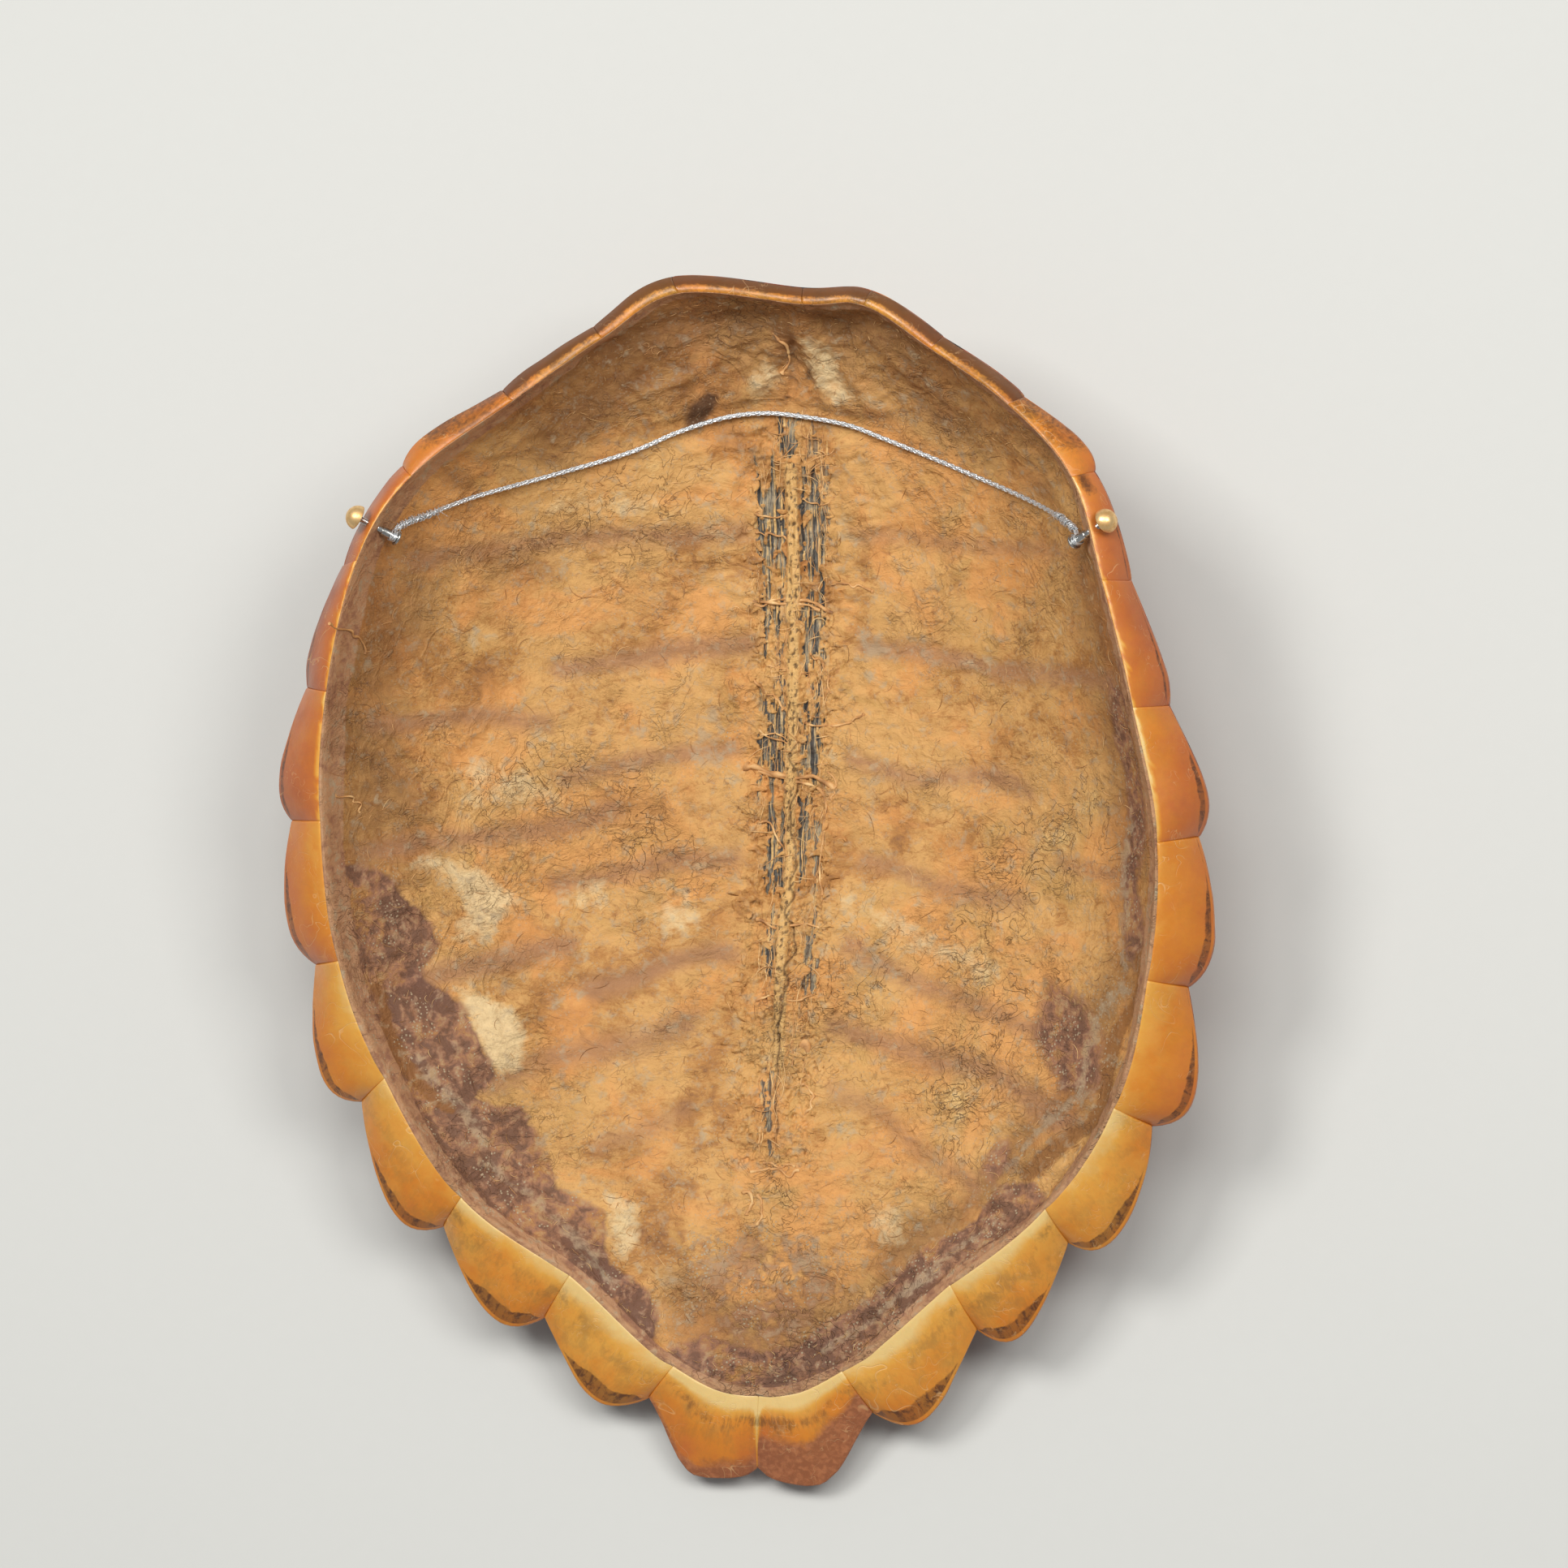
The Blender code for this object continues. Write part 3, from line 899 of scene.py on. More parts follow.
        # Painted shade, partly the bone's own dark colour: the pore colour laid in the pits, the ridge's pores
        # and the tear along the spine, which the strip's height also sinks.
        pores = t.remap(t.noise(t.scaled(plan, (1.0, 0.6, 1.0)), 520, 3, 0.7), 0.42, 0.34)
        pits = t.math("MAXIMUM", t.attribute("pit"), t.math("MULTIPLY", ridge, pores))
        return t.mix(t.math("MULTIPLY", pits, 0.8), color, self.pore)


@dataclass(frozen=True)
class KeratinFinish:
    """Horn of the scutes: translucent honey and orange underneath, streaked tortoiseshell on the
    back, with brown slivers along the free edges."""

    red: Color = srgb(158, 82, 46)
    orange: Color = srgb(190, 104, 44)
    honey: Color = srgb(210, 128, 38)
    yellow: Color = srgb(222, 160, 66)
    pale: Color = srgb(228, 192, 122)
    brown: Color = srgb(84, 48, 26)
    amber: Color = srgb(178, 96, 30)
    dark: Color = srgb(38, 18, 10)
    mahogany: Color = srgb(146, 60, 26)
    olive: Color = srgb(138, 96, 46)
    rust: Color = srgb(140, 82, 50)
    scuff: Color = srgb(168, 104, 66)
    scrape: Color = srgb(236, 190, 130)

    def wedge(self, t: Tree, cloud: Any) -> Socket:
        """The brown wedge inside the rear of a free edge: it lies between 0.965 less a
        width, which swells along the scute, and 0.968 across.

        Args:
            t: Tree helper.
            cloud: The mottle group's outputs.

        Returns:
            The wedge's mask.
        """
        along, far, most = t.split(t.vector_attribute("place"))
        width = t.math("MULTIPLY", t.remap(along, 0.2, 0.62), t.remap(along, 1.0, 0.9))
        width = t.math("MULTIPLY", width, most)
        ragged = t.math("MULTIPLY", t.math("SUBTRACT", cloud["Middle"], 0.5), 0.14)
        inner = t.math("ADD", t.math("ADD", t.math("SUBTRACT", far, 0.965), width), ragged)
        inside = t.math("DIVIDE", inner, 0.02, clamp=True)
        edge = t.math("DIVIDE", t.math("SUBTRACT", 0.968, far), 0.012, clamp=True)
        return t.math("MULTIPLY", inside, edge)

    def build(self, effects: Effects) -> Material:
        """Makes the material.

        Args:
            effects: Shared node groups.

        Returns:
            The material.
        """
        material, t, shader = new_material("horn_scutes")
        where = t.coords()
        cloud = t.group(effects.mottle, {"Vector": where, "Size": 20.0}).outputs
        tone = t.math("MULTIPLY_ADD", t.math("SUBTRACT", cloud["Broad"], 0.5), 0.6, t.attribute("honey"))
        tone = t.math("MULTIPLY_ADD", t.math("SUBTRACT", cloud["Middle"], 0.5), 0.25, tone)
        tone = t.math("MULTIPLY_ADD", t.math("SUBTRACT", cloud["Fine"], 0.5), 0.1, tone)
        color = t.ramp(
            tone,
            ((0.05, self.red), (0.3, self.orange), (0.55, self.honey), (0.8, self.yellow), (1.0, self.pale))
        )
        grain = t.noise(t.scaled(t.vector_attribute("place"), (9.0, 2.6, 1.0)), 3.0, 5, 0.65, 0.6)
        smoky = t.math(
            "MULTIPLY",
            t.remap(t.math("MULTIPLY_ADD", cloud["Middle"], 0.6, t.math("MULTIPLY", grain, 0.4)), 0.42, 0.64),
            t.attribute("smoke")
        )
        color = t.mix(t.math("MULTIPLY", smoky, 0.46, clamp=True), color, self.olive)
        dusk = t.frayed(
            t.attribute("sliver"), t.math("MULTIPLY", t.math("ADD", cloud["Middle"], grain), 0.5), 1.4, 2.5
        )
        color = t.lay(color, self.brown, dusk, 0.85)
        streaky = t.remap(grain, 0.36, 0.6, (0.95, 0.5))
        color = t.mix(t.math("MULTIPLY", self.wedge(t, cloud), streaky), color, self.brown)
        rusty = t.frayed(t.attribute("rusty"), cloud["Middle"], 1.3, 1.8)
        scuffed = t.mix(t.remap(cloud["Fine"], 0.4, 0.66), self.rust, self.scuff)
        color = t.lay(color, scuffed, rusty, 0.9)
        marks = t.group(effects.scratches, {"Vector": where, "Size": 40.0, "Width": 0.009}).outputs[0]
        flecks = t.group(effects.scratches, {"Vector": where, "Size": 110.0, "Width": 0.016}).outputs[0]
        worn = t.math("MAXIMUM", marks, t.math("MULTIPLY", flecks, 0.7))
        color = t.lay(color, self.scrape, worn, 0.45)
        ray = t.vector_attribute("ray")
        streaks = t.noise(ray, 1.0, 4, 0.62, 0.35)
        clouds = t.noise(where, 26, 3, 0.6, 0.8)
        both = t.math("MULTIPLY_ADD", clouds, 0.45, t.math("MULTIPLY", streaks, 0.65))
        shellwork = t.ramp(
            both, ((0.44, self.dark), (0.52, self.mahogany), (0.6, self.amber), (0.7, self.honey))
        )
        color = t.mix(t.attribute("outer"), color, shellwork)
        t.feed(shader.inputs["Base Color"], color)
        gloss = t.noise(where, 60, 4, 0.6)
        rough = t.remap(gloss, 0.35, 0.65, (0.3, 0.46))
        t.feed(
            shader.inputs["Roughness"], t.math("MULTIPLY_ADD", t.math("MAXIMUM", worn, rusty), 0.25, rough)
        )
        t.feed(shader.inputs["Coat Weight"], 0.15)
        t.feed(shader.inputs["Coat Roughness"], 0.2)
        t.feed(shader.inputs["Subsurface Weight"], 0.08)
        t.feed(shader.inputs["Subsurface Radius"], (1.0, 0.4, 0.15))
        t.feed(shader.inputs["Subsurface Scale"], 0.005)
        height = t.math(
            "MULTIPLY_ADD", worn, -0.5,
            t.math("MULTIPLY_ADD", cloud["Fine"], 0.35, t.math("MULTIPLY", gloss, 0.7))
        )
        t.feed(shader.inputs["Normal"], t.bump(height, 0.8, 0.5))
        return material


@dataclass(frozen=True)
class StrandFinish:
    """Loose dried fibres and sinews, each its own shade."""

    dark: Color = srgb(130, 86, 48)
    tan: Color = srgb(204, 150, 92)
    light: Color = srgb(236, 198, 138)

    def build(self) -> Material:
        """Makes the material."""
        material, t, shader = new_material("dried_sinew")
        grain = t.noise(t.coords(), 700, 3, 0.6)
        tone = t.math("MULTIPLY_ADD", grain, 0.35, t.math("MULTIPLY", t.attribute("shade"), 0.65))
        t.feed(
            shader.inputs["Base Color"],
            t.ramp(tone, ((0.15, self.dark), (0.5, self.tan), (0.85, self.light)))
        )
        t.feed(shader.inputs["Roughness"], t.remap(grain, 0.3, 0.7, (0.6, 0.85)))
        t.feed(shader.inputs["Normal"], t.bump(grain, 0.3, 0.6))
        return material


@dataclass(frozen=True)
class MetalFinish:
    """Plain metal with worn, uneven polish."""

    name: str
    bright: Color
    dull: Color
    roughness: float
    metallic: float = 1.0
    wave: float = 240.0

    def build(self, effects: Effects) -> Material:
        """Makes the material.

        Args:
            effects: Shared node groups.

        Returns:
            The material.
        """
        material, t, shader = new_material(self.name)
        where = t.coords()
        haze = t.noise(where, self.wave, 4, 0.6)
        color = t.mix(t.remap(haze, 0.38, 0.66), self.bright, self.dull)
        marks = t.group(effects.scratches, {"Vector": where, "Size": 420.0, "Width": 0.02}).outputs[0]
        color = t.lay(color, self.dull, marks, 0.35)
        t.feed(shader.inputs["Base Color"], color)
        t.feed(shader.inputs["Metallic"], self.metallic)
        low, high = max(0.05, self.roughness - 0.08), self.roughness + 0.12
        t.feed(shader.inputs["Roughness"], t.remap(haze, 0.3, 0.7, (low, high)))
        t.feed(shader.inputs["Normal"], t.bump(t.math("SUBTRACT", haze, marks), 0.06, 0.4))
        return material


# ---------------------------------------------------------------------------------------------
# The shell
# ---------------------------------------------------------------------------------------------


@dataclass(frozen=True)
class Stroke:
    """A soft painted line in plan: full on the line, nothing one width away."""

    name: str
    width: float
    strength: float
    line: tuple[tuple[float, float], ...]

    def mask(self, x: Array, y: Array) -> Array:
        """The stroke's strength at each place: strength times the eased 1 - d / width."""
        return self.strength * smooth(1 - distance_to(x, y, self.line) / self.width)


@dataclass(frozen=True)
class Patch:
    """A soft painted area in plan: a half on its outline, full one softness inside."""

    name: str
    soft: float
    strength: float
    outline: tuple[tuple[float, float], ...]

    def mask(self, x: Array, y: Array) -> Array:
        """The patch's strength at each place: strength times the eased 1/2 + d / (2 soft)."""
        return self.strength * smooth(0.5 + inside_outline(x, y, self.outline) / (2 * self.soft))


# Stains and painted shade of the hollow in plan, by name; the umber marks are partly painted shade.
# Each mark is its width or softness, its strength, and its line or outline.
Mark = tuple[float, float, tuple[tuple[float, float], ...]]
STROKES: dict[str, tuple[Mark, ...]] = {
    "stripe": (
        (13, 0.75, ((-35, 214), (-100, 211), (-170, 206), (-225, 198))),
        (13, 0.95, ((-30, 143), (-60, 140), (-100, 133), (-150, 128))),
        (12, 0.9, ((-158, 93), (-200, 94), (-245, 95))),
        (13, 0.85, ((-45, 74), (-75, 70), (-110, 62), (-150, 56))),
        (13, 0.9, ((-110, 34), (-150, 27), (-190, 21), (-250, 14))),
        (13, 0.85, ((-40, 6), (-75, 3), (-110, -3), (-150, -9))),
        (13, 1.0, ((-135, -50), (-175, -60), (-225, -66))),
        (14, 0.95, ((-38, -55), (-80, -64), (-120, -77))),
        (16, 0.8, ((-60, -102), (-110, -112), (-180, -134))),
        (13, 0.6, ((-60, -150), (-110, -175))),
        (12, 0.6, ((45, 214), (100, 208), (180, 204))),
        (13, 0.85, ((40, 142), (90, 137), (140, 130), (215, 126))),
        (13, 0.8, ((40, 70), (80, 62), (150, 54))),
        (12, 0.7, ((110, 57), (155, 53))),
        (13, 0.75, ((45, 3), (100, -8), (150, -17))),
        (12, 0.6, ((185, 12), (235, 2))),
        (14, 0.8, ((38, -50), (80, -70), (150, -92), (210, -112))),
        (14, 0.9, ((35, -98), (90, -112), (140, -125), (190, -146))),
        (13, 0.6, ((40, -140), (90, -165), (130, -190))),
    ),
    # Partly the membrane's own darker brown, partly painted shade down the sides near the rim and over the
    # head wall.
    "umber": (
        (26, 0.75, ((226, -50), (208, -112), (170, -160), (120, -208), (72, -250))),
        (34, 0.65, ((-226, 200), (-242, 120), (-244, 60), (-236, 0))),
        (30, 0.5, ((214, 200), (228, 130), (232, 60), (230, -10))),
        (20, 0.5, ((-60, 308), (-34, 298), (-16, 306))),
        (12, 0.55, ((14, 302), (40, 292), (70, 286))),
    ),
    "ash": (
        (6, 0.7, ((230, 40), (230, 0), (226, -50), (214, -90), (198, -126), (178, -154), (156, -178))),
        (7, 0.6, ((-218, -120), (-196, -156), (-168, -190), (-130, -222), (-100, -252))),
        (5, 0.6, ((150, -208), (110, -240), (70, -274), (44, -294))),
    ),
    "fibrous": (
        (8, 1.3, ((240, -46), (231, -82), (217, -122), (196, -156), (172, -180))),
        (6, 1.2, ((-246, -70), (-238, -96), (-224, -122), (-208, -146))),
    ),
}
PATCHES: dict[str, tuple[Mark, ...]] = {
    "mauve": (
        (7, 1.0, ((-262, 10), (-238, -2), (-226, -22), (-212, -48), (-220, -62), (-204, -76),
            (-197, -98), (-183, -116), (-174, -127), (-190, -140), (-178, -147), (-152, -149),
            (-148, -178), (-132, -200), (-104, -216), (-96, -240), (-76, -262), (-60, -300),
            (-150, -300), (-280, -120), (-290, 0))),
        (15, 0.85, ((170, -60), (205, -68), (222, -92), (216, -122), (186, -134), (166, -100))),
        (6, 1.0, ((176, -184), (190, -204), (126, -256), (56, -314), (20, -330), (16, -300), (42, -278),
            (70, -258), (106, -230), (156, -188))),
        (12, 0.75, ((156, -160), (164, -176), (148, -190), (132, -180), (138, -164))),
        (7, 0.85, ((-62, -300), (-30, -326), (30, -326), (56, -302), (40, -288), (0, -296), (-40, -288))),
        (9, 0.8, ((212, 130), (236, 120), (244, 60), (246, -40), (226, -60), (226, 40))),
        (24, 0.5, ((-48, -226), (-10, -214), (40, -226), (52, -260), (30, -300), (-30, -300), (-54, -262))),
    ),
    "cream": (
        (7, 0.8, ((-236, 0), (-216, 3), (-204, -22), (-206, -50), (-186, -48), (-176, -20), (-194, 2),
            (-224, 8))),
        (6, 1.0, ((-202, -74), (-186, -82), (-168, -92), (-158, -104), (-160, -124), (-174, -128),
            (-186, -116), (-198, -98))),
        (9, 0.55, ((-206, 66), (-150, 62), (-148, 44), (-210, 40))),
        (9, 0.6, ((-150, -12), (-120, -10), (-112, -26), (-150, -30))),
        (8, 0.8, ((-102, -206), (-86, -214), (-76, -234), (-84, -244), (-96, -228))),
        (10, 0.55, ((36, -20), (60, -36), (100, -56), (140, -66), (136, -54), (90, -38))),
        (9, 0.5, ((-90, -18), (-52, -20), (-44, -40), (-84, -44))),
        (8, 0.6, ((74, -208), (94, -206), (92, -228), (78, -232))),
        (10, 0.4, ((-160, 236), (-60, 240), (-60, 228), (-150, 222))),
        (7, 0.7, ((7, 340), (26, 334), (44, 304), (30, 292), (14, 306))),
        (6, 0.5, ((-16, 330), (-30, 300), (-24, 292), (-8, 312))),
    ),
    # Partly the membrane's own darker brown, partly painted shade over the head wall, down the sides near the
    # rim and in the pits.
    "umber": (
        (24, 0.9, ((-200, 300), (-110, 368), (110, 368), (190, 300), (150, 290), (60, 322), (0, 338),
            (-60, 320), (-150, 292))),
        (18, 0.75, ((-262, 220), (-228, 215), (-232, 100), (-244, 0), (-268, 0), (-275, 110))),
        (18, 0.75, ((226, 220), (190, 215), (205, 100), (222, 0), (250, 0), (250, 110))),
        (40, 0.62, ((-215, 262), (-120, 268), (-50, 300), (0, 292), (60, 300), (130, 262), (200, 250),
            (215, 300), (100, 375), (-100, 375), (-225, 290))),
        (14, 0.85, ((-150, 262), (-100, 288), (-70, 320), (-100, 330), (-160, 290))),
        (14, 0.8, ((60, 336), (96, 318), (140, 286), (120, 268), (80, 290))),
        (9, 1.0, ((-166, 302), (-154, 302), (-148, 290), (-160, 288))),
        (11, 0.85, ((-160, 272), (-138, 270), (-134, 258), (-154, 258))),
        (11, 0.95, ((-210, 258), (-194, 254), (-196, 244), (-208, 246))),
        (14, 0.7, ((-194, 200), (-160, 196), (-152, 184), (-186, 182))),
        (14, 1.0, ((-104, 356), (-70, 356), (-56, 338), (-92, 336))),
        (10, 0.85, ((70, 326), (92, 314), (112, 292), (100, 290), (76, 308))),
        (13, 0.8, ((148, 268), (176, 248), (186, 226), (166, 236))),
        (12, 0.5, ((-124, 46), (-84, 40), (-80, 26), (-116, 30))),
        (22, 0.7, ((-70, -290), (-60, -250), (0, -262), (60, -250), (70, -290), (0, -330))),
        (6, 0.95, ((-14, 352), (14, 352), (8, 330), (-2, 322), (-10, 334))),
        (5, 1.5, ((-68, 282), (-60, 284), (-54, 300), (-60, 304), (-67, 296))),
    ),
    "ash": (
        (6, 0.55, ((-56, 108), (-40, 78), (-46, 60), (-66, 66), (-70, 92))),
        (8, 0.7, ((34, 152), (56, 150), (60, 134), (40, 132))),
        (6, 0.6, ((82, 146), (92, 142), (90, 130), (80, 132))),
        (8, 0.65, ((40, -52), (64, -54), (64, -74), (44, -70))),
        (9, 0.42, ((-44, -230), (-20, -230), (-18, -252), (-40, -256))),
        (9, 0.5, ((8, -226), (30, -228), (32, -256), (10, -254))),
    ),
    # Pits: their dark is partly the bone's own colour and partly painted shade.
    "pit": (
        (2, 0.9, ((-68, 282), (-60, 284), (-54, 300), (-60, 304), (-67, 296))),
        (1.5, 0.8, ((10, 318), (14, 320), (13, 312), (9, 312))),
    ),
}
STAINS_AND_SHADE = tuple(
    kind(name, *mark)
    for kind, table in ((Stroke, STROKES), (Patch, PATCHES))
    for name, marks in table.items()
    for mark in marks
)
STAIN_AND_SHADE_NAMES = ("stripe", "mauve", "cream", "umber", "ash", "fibrous", "pit")
# Bare dark bone beside the spine: left, right, top and bottom in plan, strength.
WINDOWS = (
    (-27, -7, 247, 187, 1.0), (2, 17, 251, 185, 1.0), (14, 24, 262, 196, 0.62), (-26, -10, 173, 146, 1.0),
    (3, 17, 175, 126, 1.0), (-15, -9, 142, 112, 0.8), (9, 17, 122, 102, 0.8), (-25, -7, 106, 57, 1.0),
    (3, 16, 99, 60, 1.0), (-20, -6, 34, -13, 1.0), (3, 10, 48, -9, 1.0), (11, 17, 30, -20, 0.7),
    (-17, -9, -30, -63, 0.85), (9, 20, -32, -80, 0.7), (-31, -25, 200, 150, 0.55),
    (-12, -3, -130, -170, 0.7), (-12, 2, 290, 260, 0.9), (7, 16, 286, 256, 0.6), (5, 12, -98, -130, 0.5),
)
# Creases and ridges of the hollow in plan: width, height in mm, line.
FOLDS = (
    (6, -3.0, ((-118, 326), (-70, 346), (-20, 351), (0, 349), (60, 347), (112, 318))),
    (7, 4.2, ((2, 346), (-14, 322), (-34, 288))),
    (6, 4.4, ((8, 346), (18, 318), (24, 286))),
    (6, 3.2, ((16, 345), (36, 324), (54, 296))),
    (3, -2.0, ((4, 348), (2, 322), (-4, 292))),
    (4, 2.2, ((-30, 340), (-60, 316), (-92, 304))),
    (4, 2.0, ((60, 338), (84, 310), (120, 292))),
    (3, 1.6, ((-150, 282), (-186, 262), (-205, 236))),
    (3, 1.5, ((140, 278), (172, 258), (190, 232))),
    (4, 2.0, ((-34, 262), (-44, 240), (-40, 214))),
    (3, 1.8, ((-42, 256), (-58, 232), (-52, 206))),
    (4, 2.0, ((32, 264), (44, 240), (38, 216))),
    (1.5, -1.6, ((128, 174), (132, 150), (127, 126))),
    (1.5, -1.4, ((146, 170), (150, 146), (144, 122))),
    (1.3, -1.3, ((137, 164), (139, 148), (136, 134))),
    (2.5, 0.9, ((70, -60), (130, -96), (192, -142))),
    (2.0, 0.8, ((-60, -20), (-130, -44), (-190, -64))),
    (6, 1.6, ((-58, -262), (-52, -226), (-34, -206), (-12, -200))),
    (6, 1.6, ((60, -262), (52, -226), (38, -206), (16, -200))),
    (5, 1.2, ((-4, -200), (-2, -240), (-2, -268))),
    (4, 1.1, ((-6, -196), (-40, -170), (-90, -150))),
    (4, 1.1, ((6, -196), (44, -172), (92, -156))),
    (3, 1.0, ((-4, -202), (-30, -192), (-70, -190))),
    (3, 1.0, ((6, -202), (34, -192), (70, -192))),
)
RIB_HEADS = (
    (-33, 176), (30, 178), (-34, 114), (30, 112), (-30, 42), (28, 42), (-25, -24), (22, -22),
    (-24, -92), (24, -94), (-22, -140), (22, -142),
)
SUTURES = (
    ((-30, 213), (-235, 196)), ((-30, 142), (-150, 128), (-255, 118)), ((-30, 76), (-150, 56), (-258, 48)),
    ((-30, 8), (-150, -10), (-250, -30)), ((-28, -52), (-120, -76), (-225, -110)),
    ((-24, -98), (-110, -114), (-190, -138)), ((-20, -142), (-140, -190)),
    ((30, 213), (215, 200)), ((30, 143), (215, 126)), ((30, 72), (150, 54), (235, 48)),
    ((28, 6), (150, -17), (240, -34)), ((26, -46), (150, -92), (220, -118)),
    ((24, -94), (140, -125), (195, -150)), ((20, -140), (135, -194)),
)


@dataclass
class Hollow:
    """The bone of the shell as one closed skin: the membrane-lined hollow, the lip, and the
    back that the scutes lie on."""

    rows_per_scute: int = 27
    cols: int = 104
    crowd: float = 0.06
    inset: float = 1.0
    lip_steps: tuple[float, ...] = (0.03, 0.07, 0.12, 0.2, 0.45, 0.75, 0.97)
    back_steps: tuple[float, ...] = (1.0, 0.96, 0.9, 0.82, 0.72, 0.6, 0.48, 0.36, 0.24, 0.12, 0.0)

    def ring(self) -> Solid:
        """Rows once round the rim, down the right side and back up the left.

        Returns:
            Place u along the rim and side, 1 or -1, of each row.
        """
        down = np.arange(self.rows_per_scute * SCUTES + 1) / self.rows_per_scute
        return np.concatenate((down, down[-2:0:-1])), np.concatenate(
            (np.ones(len(down)), -np.ones(len(down) - 2))
        )

    def columns(self) -> Array:
        """Places s across the hollow, closer together at the spine and the lip."""
        t = np.linspace(0, 1, self.cols)
        return t - self.crowd * np.sin(2 * math.pi * t)

    def on_ring(self, surface: Callable[..., Array], across: Array) -> Array:
        """A surface of the form sampled right round the ring.

        Args:
            surface: One of the form's functions of (side, u, across).
            across: Places across, one for each column.

        Returns:
            Points, rows by columns.
        """
        u, way = self.ring()
        places = np.broadcast_to(across, (len(u), len(across)))
        rows = np.broadcast_to(u[:, None], places.shape)
        right = surface(Side.RIGHT, rows, places)
        left = surface(Side.LEFT, rows, places)
        return np.where((way > 0)[:, None, None], right, left)

    def normals(self, points: Array) -> Array:
        """Unit normals of the ring's grid from its differences, with the rows wrapped round and
        both sides' shared where they meet on the spine."""
        wrapped = np.concatenate((points[-1:], points, points[:1]))
        normal = unit(np.cross(np.gradient(wrapped, axis=0)[1:-1], np.gradient(points, axis=1)))
        normal[:, 0] = normal[:, 1]
        mirror = (-np.arange(len(points))) % len(points)
        normal[:, 0] = unit(normal[:, 0] + normal[mirror, 0])
        return normal

    def relief(self, x: Array, y: Array, u: Array, s: Array, way: Array) -> Array:
        """How far the membrane stands above the smooth hollow: folds, ribs and their sutures,
        the spine's ridge and troughs, rib heads, wrinkles and the lip's groove.

        Args:
            x: Plan coordinates in mm.
            y: Plan coordinates in mm.
            u: Places along the rim.
            s: Places from spine to lip.
            way: 1 on the right, -1 on the left.

        Returns:
            Heights in mm.
        """
        height = np.zeros(x.shape)
        for width, rise, line in FOLDS:
            height += rise * np.exp(-((distance_to(x, y, line) / width) ** 2))
        wander = 3 * ripples(x, y, 60, 11)
        seam = np.full(x.shape, 1e9)
        for line in SUTURES:
            seam = np.minimum(seam, distance_to(x, y + wander, line))
        height -= 0.9 * np.exp(-((seam / 6) ** 2))
        height += 0.9 * smooth(seam / 26) * smooth(1.15 - s)
        column = smooth((y + 175) / 70) * smooth((305 - y) / 30)
        jog = 1.5 * ripples(y, y * 0, 90, 12)
        height += column * 2.4 * np.exp(-(((x + 1 - jog) / 4.6) ** 2))
        height -= column * 1.5 * np.exp(-(((x + 17 - jog) / 7) ** 2))
        height -= column * 1.5 * np.exp(-(((x - 13 - jog) / 6) ** 2))
        height += column * np.exp(-((x / 26) ** 4)) * 0.45 * ripples(y, x * 7, 34, 13)
        height -= (
            column * 0.8 * np.exp(-(((x - 0.5 * ripples(y, y * 0, 22, 14)) / 1.2) ** 2))
            * smooth((110 - y) / 20)
        )
        for head_x, head_y in RIB_HEADS:
            far = np.hypot((x - head_x) / 9, (y - head_y) / 10)
            height += 1.9 * np.exp(-(far**2)) - 0.8 * np.exp(-(((far - 1.5) / 0.4) ** 2))
        near_column = np.exp(-(((np.abs(x) - 34) / 24) ** 2)) * smooth((y + 210) / 60)
        crinkle = 1 - np.abs(ripples(x, y, 26, 15, 1.6))
        crease = 1 - np.abs(ripples(x, y, 13, 16, 1.8))
        height += (0.55 + 0.9 * near_column) * (np.clip(crinkle, -0.5, 1) + 0.6 * np.clip(crease, -0.5, 1))
        height += 0.6 * ripples(x, y, 75, 17, 1.4) + 0.16 * ripples(x, y, 9, 18)
        pad = smooth(1.3 - np.hypot(x / 52, (y + 238) / 36))
        height += pad * (1.4 + 0.3 * ripples(x, y, 12, 19))
        gap = np.where(
            way > 0, smooth((u - 7.9) / 0.5) * smooth((10.9 - u) / 0.5),
            smooth((u - 8.2) / 0.4) * smooth((10.2 - u) / 0.4)
        )
        height -= (
            (0.7 + 2.4 * gap) * np.exp(-(((s - 0.955) / (0.012 + 0.014 * gap)) ** 2)) * smooth((u - 1) / 2)
        )
        wire = np.array(WIRE_ROUTE, float)[:, :2]
        under = np.exp(-((distance_to(x, y, wire) / 9) ** 4)) * smooth((95 - np.abs(x)) / 30)
        height = height * (1 - under) - 1.6 * under
        return height * smooth((1.0 - s) / 0.03)

    def paint(self, x: Array, y: Array, s: Array) -> dict[str, Array]:
        """The strengths of the stains and the painted shade at each point, the largest of the strokes of one
        name.

        Args:
            x: Plan coordinates in mm.
            y: Plan coordinates in mm.
            s: Places from spine to lip, past 1 outside it.

        Returns:
            Attributes by name.
        """
        wobble_x = x + 3 * ripples(x, y, 70, 21)
        wobble_y = y + 1.6 * ripples(x, y, 90, 22)
        near = smooth((np.abs(x) - 20) / 14)
        wobble_x = x + (wobble_x - x) * near
        wobble_y = y + (wobble_y - y) * near
        found = {name: np.zeros(x.shape) for name in STAIN_AND_SHADE_NAMES}
        for stain in STAINS_AND_SHADE:
            found[stain.name] = np.maximum(found[stain.name], stain.mask(wobble_x, wobble_y))
        inner = smooth((1.0 - s) / 0.01)
        found = {name: value * inner for name, value in found.items()}
        found["bone"] = smooth((s - 0.968) / 0.012)
        found["speckled"] = np.clip(0.35 + found["mauve"] + found["ash"], 0, 1) * inner
        return found

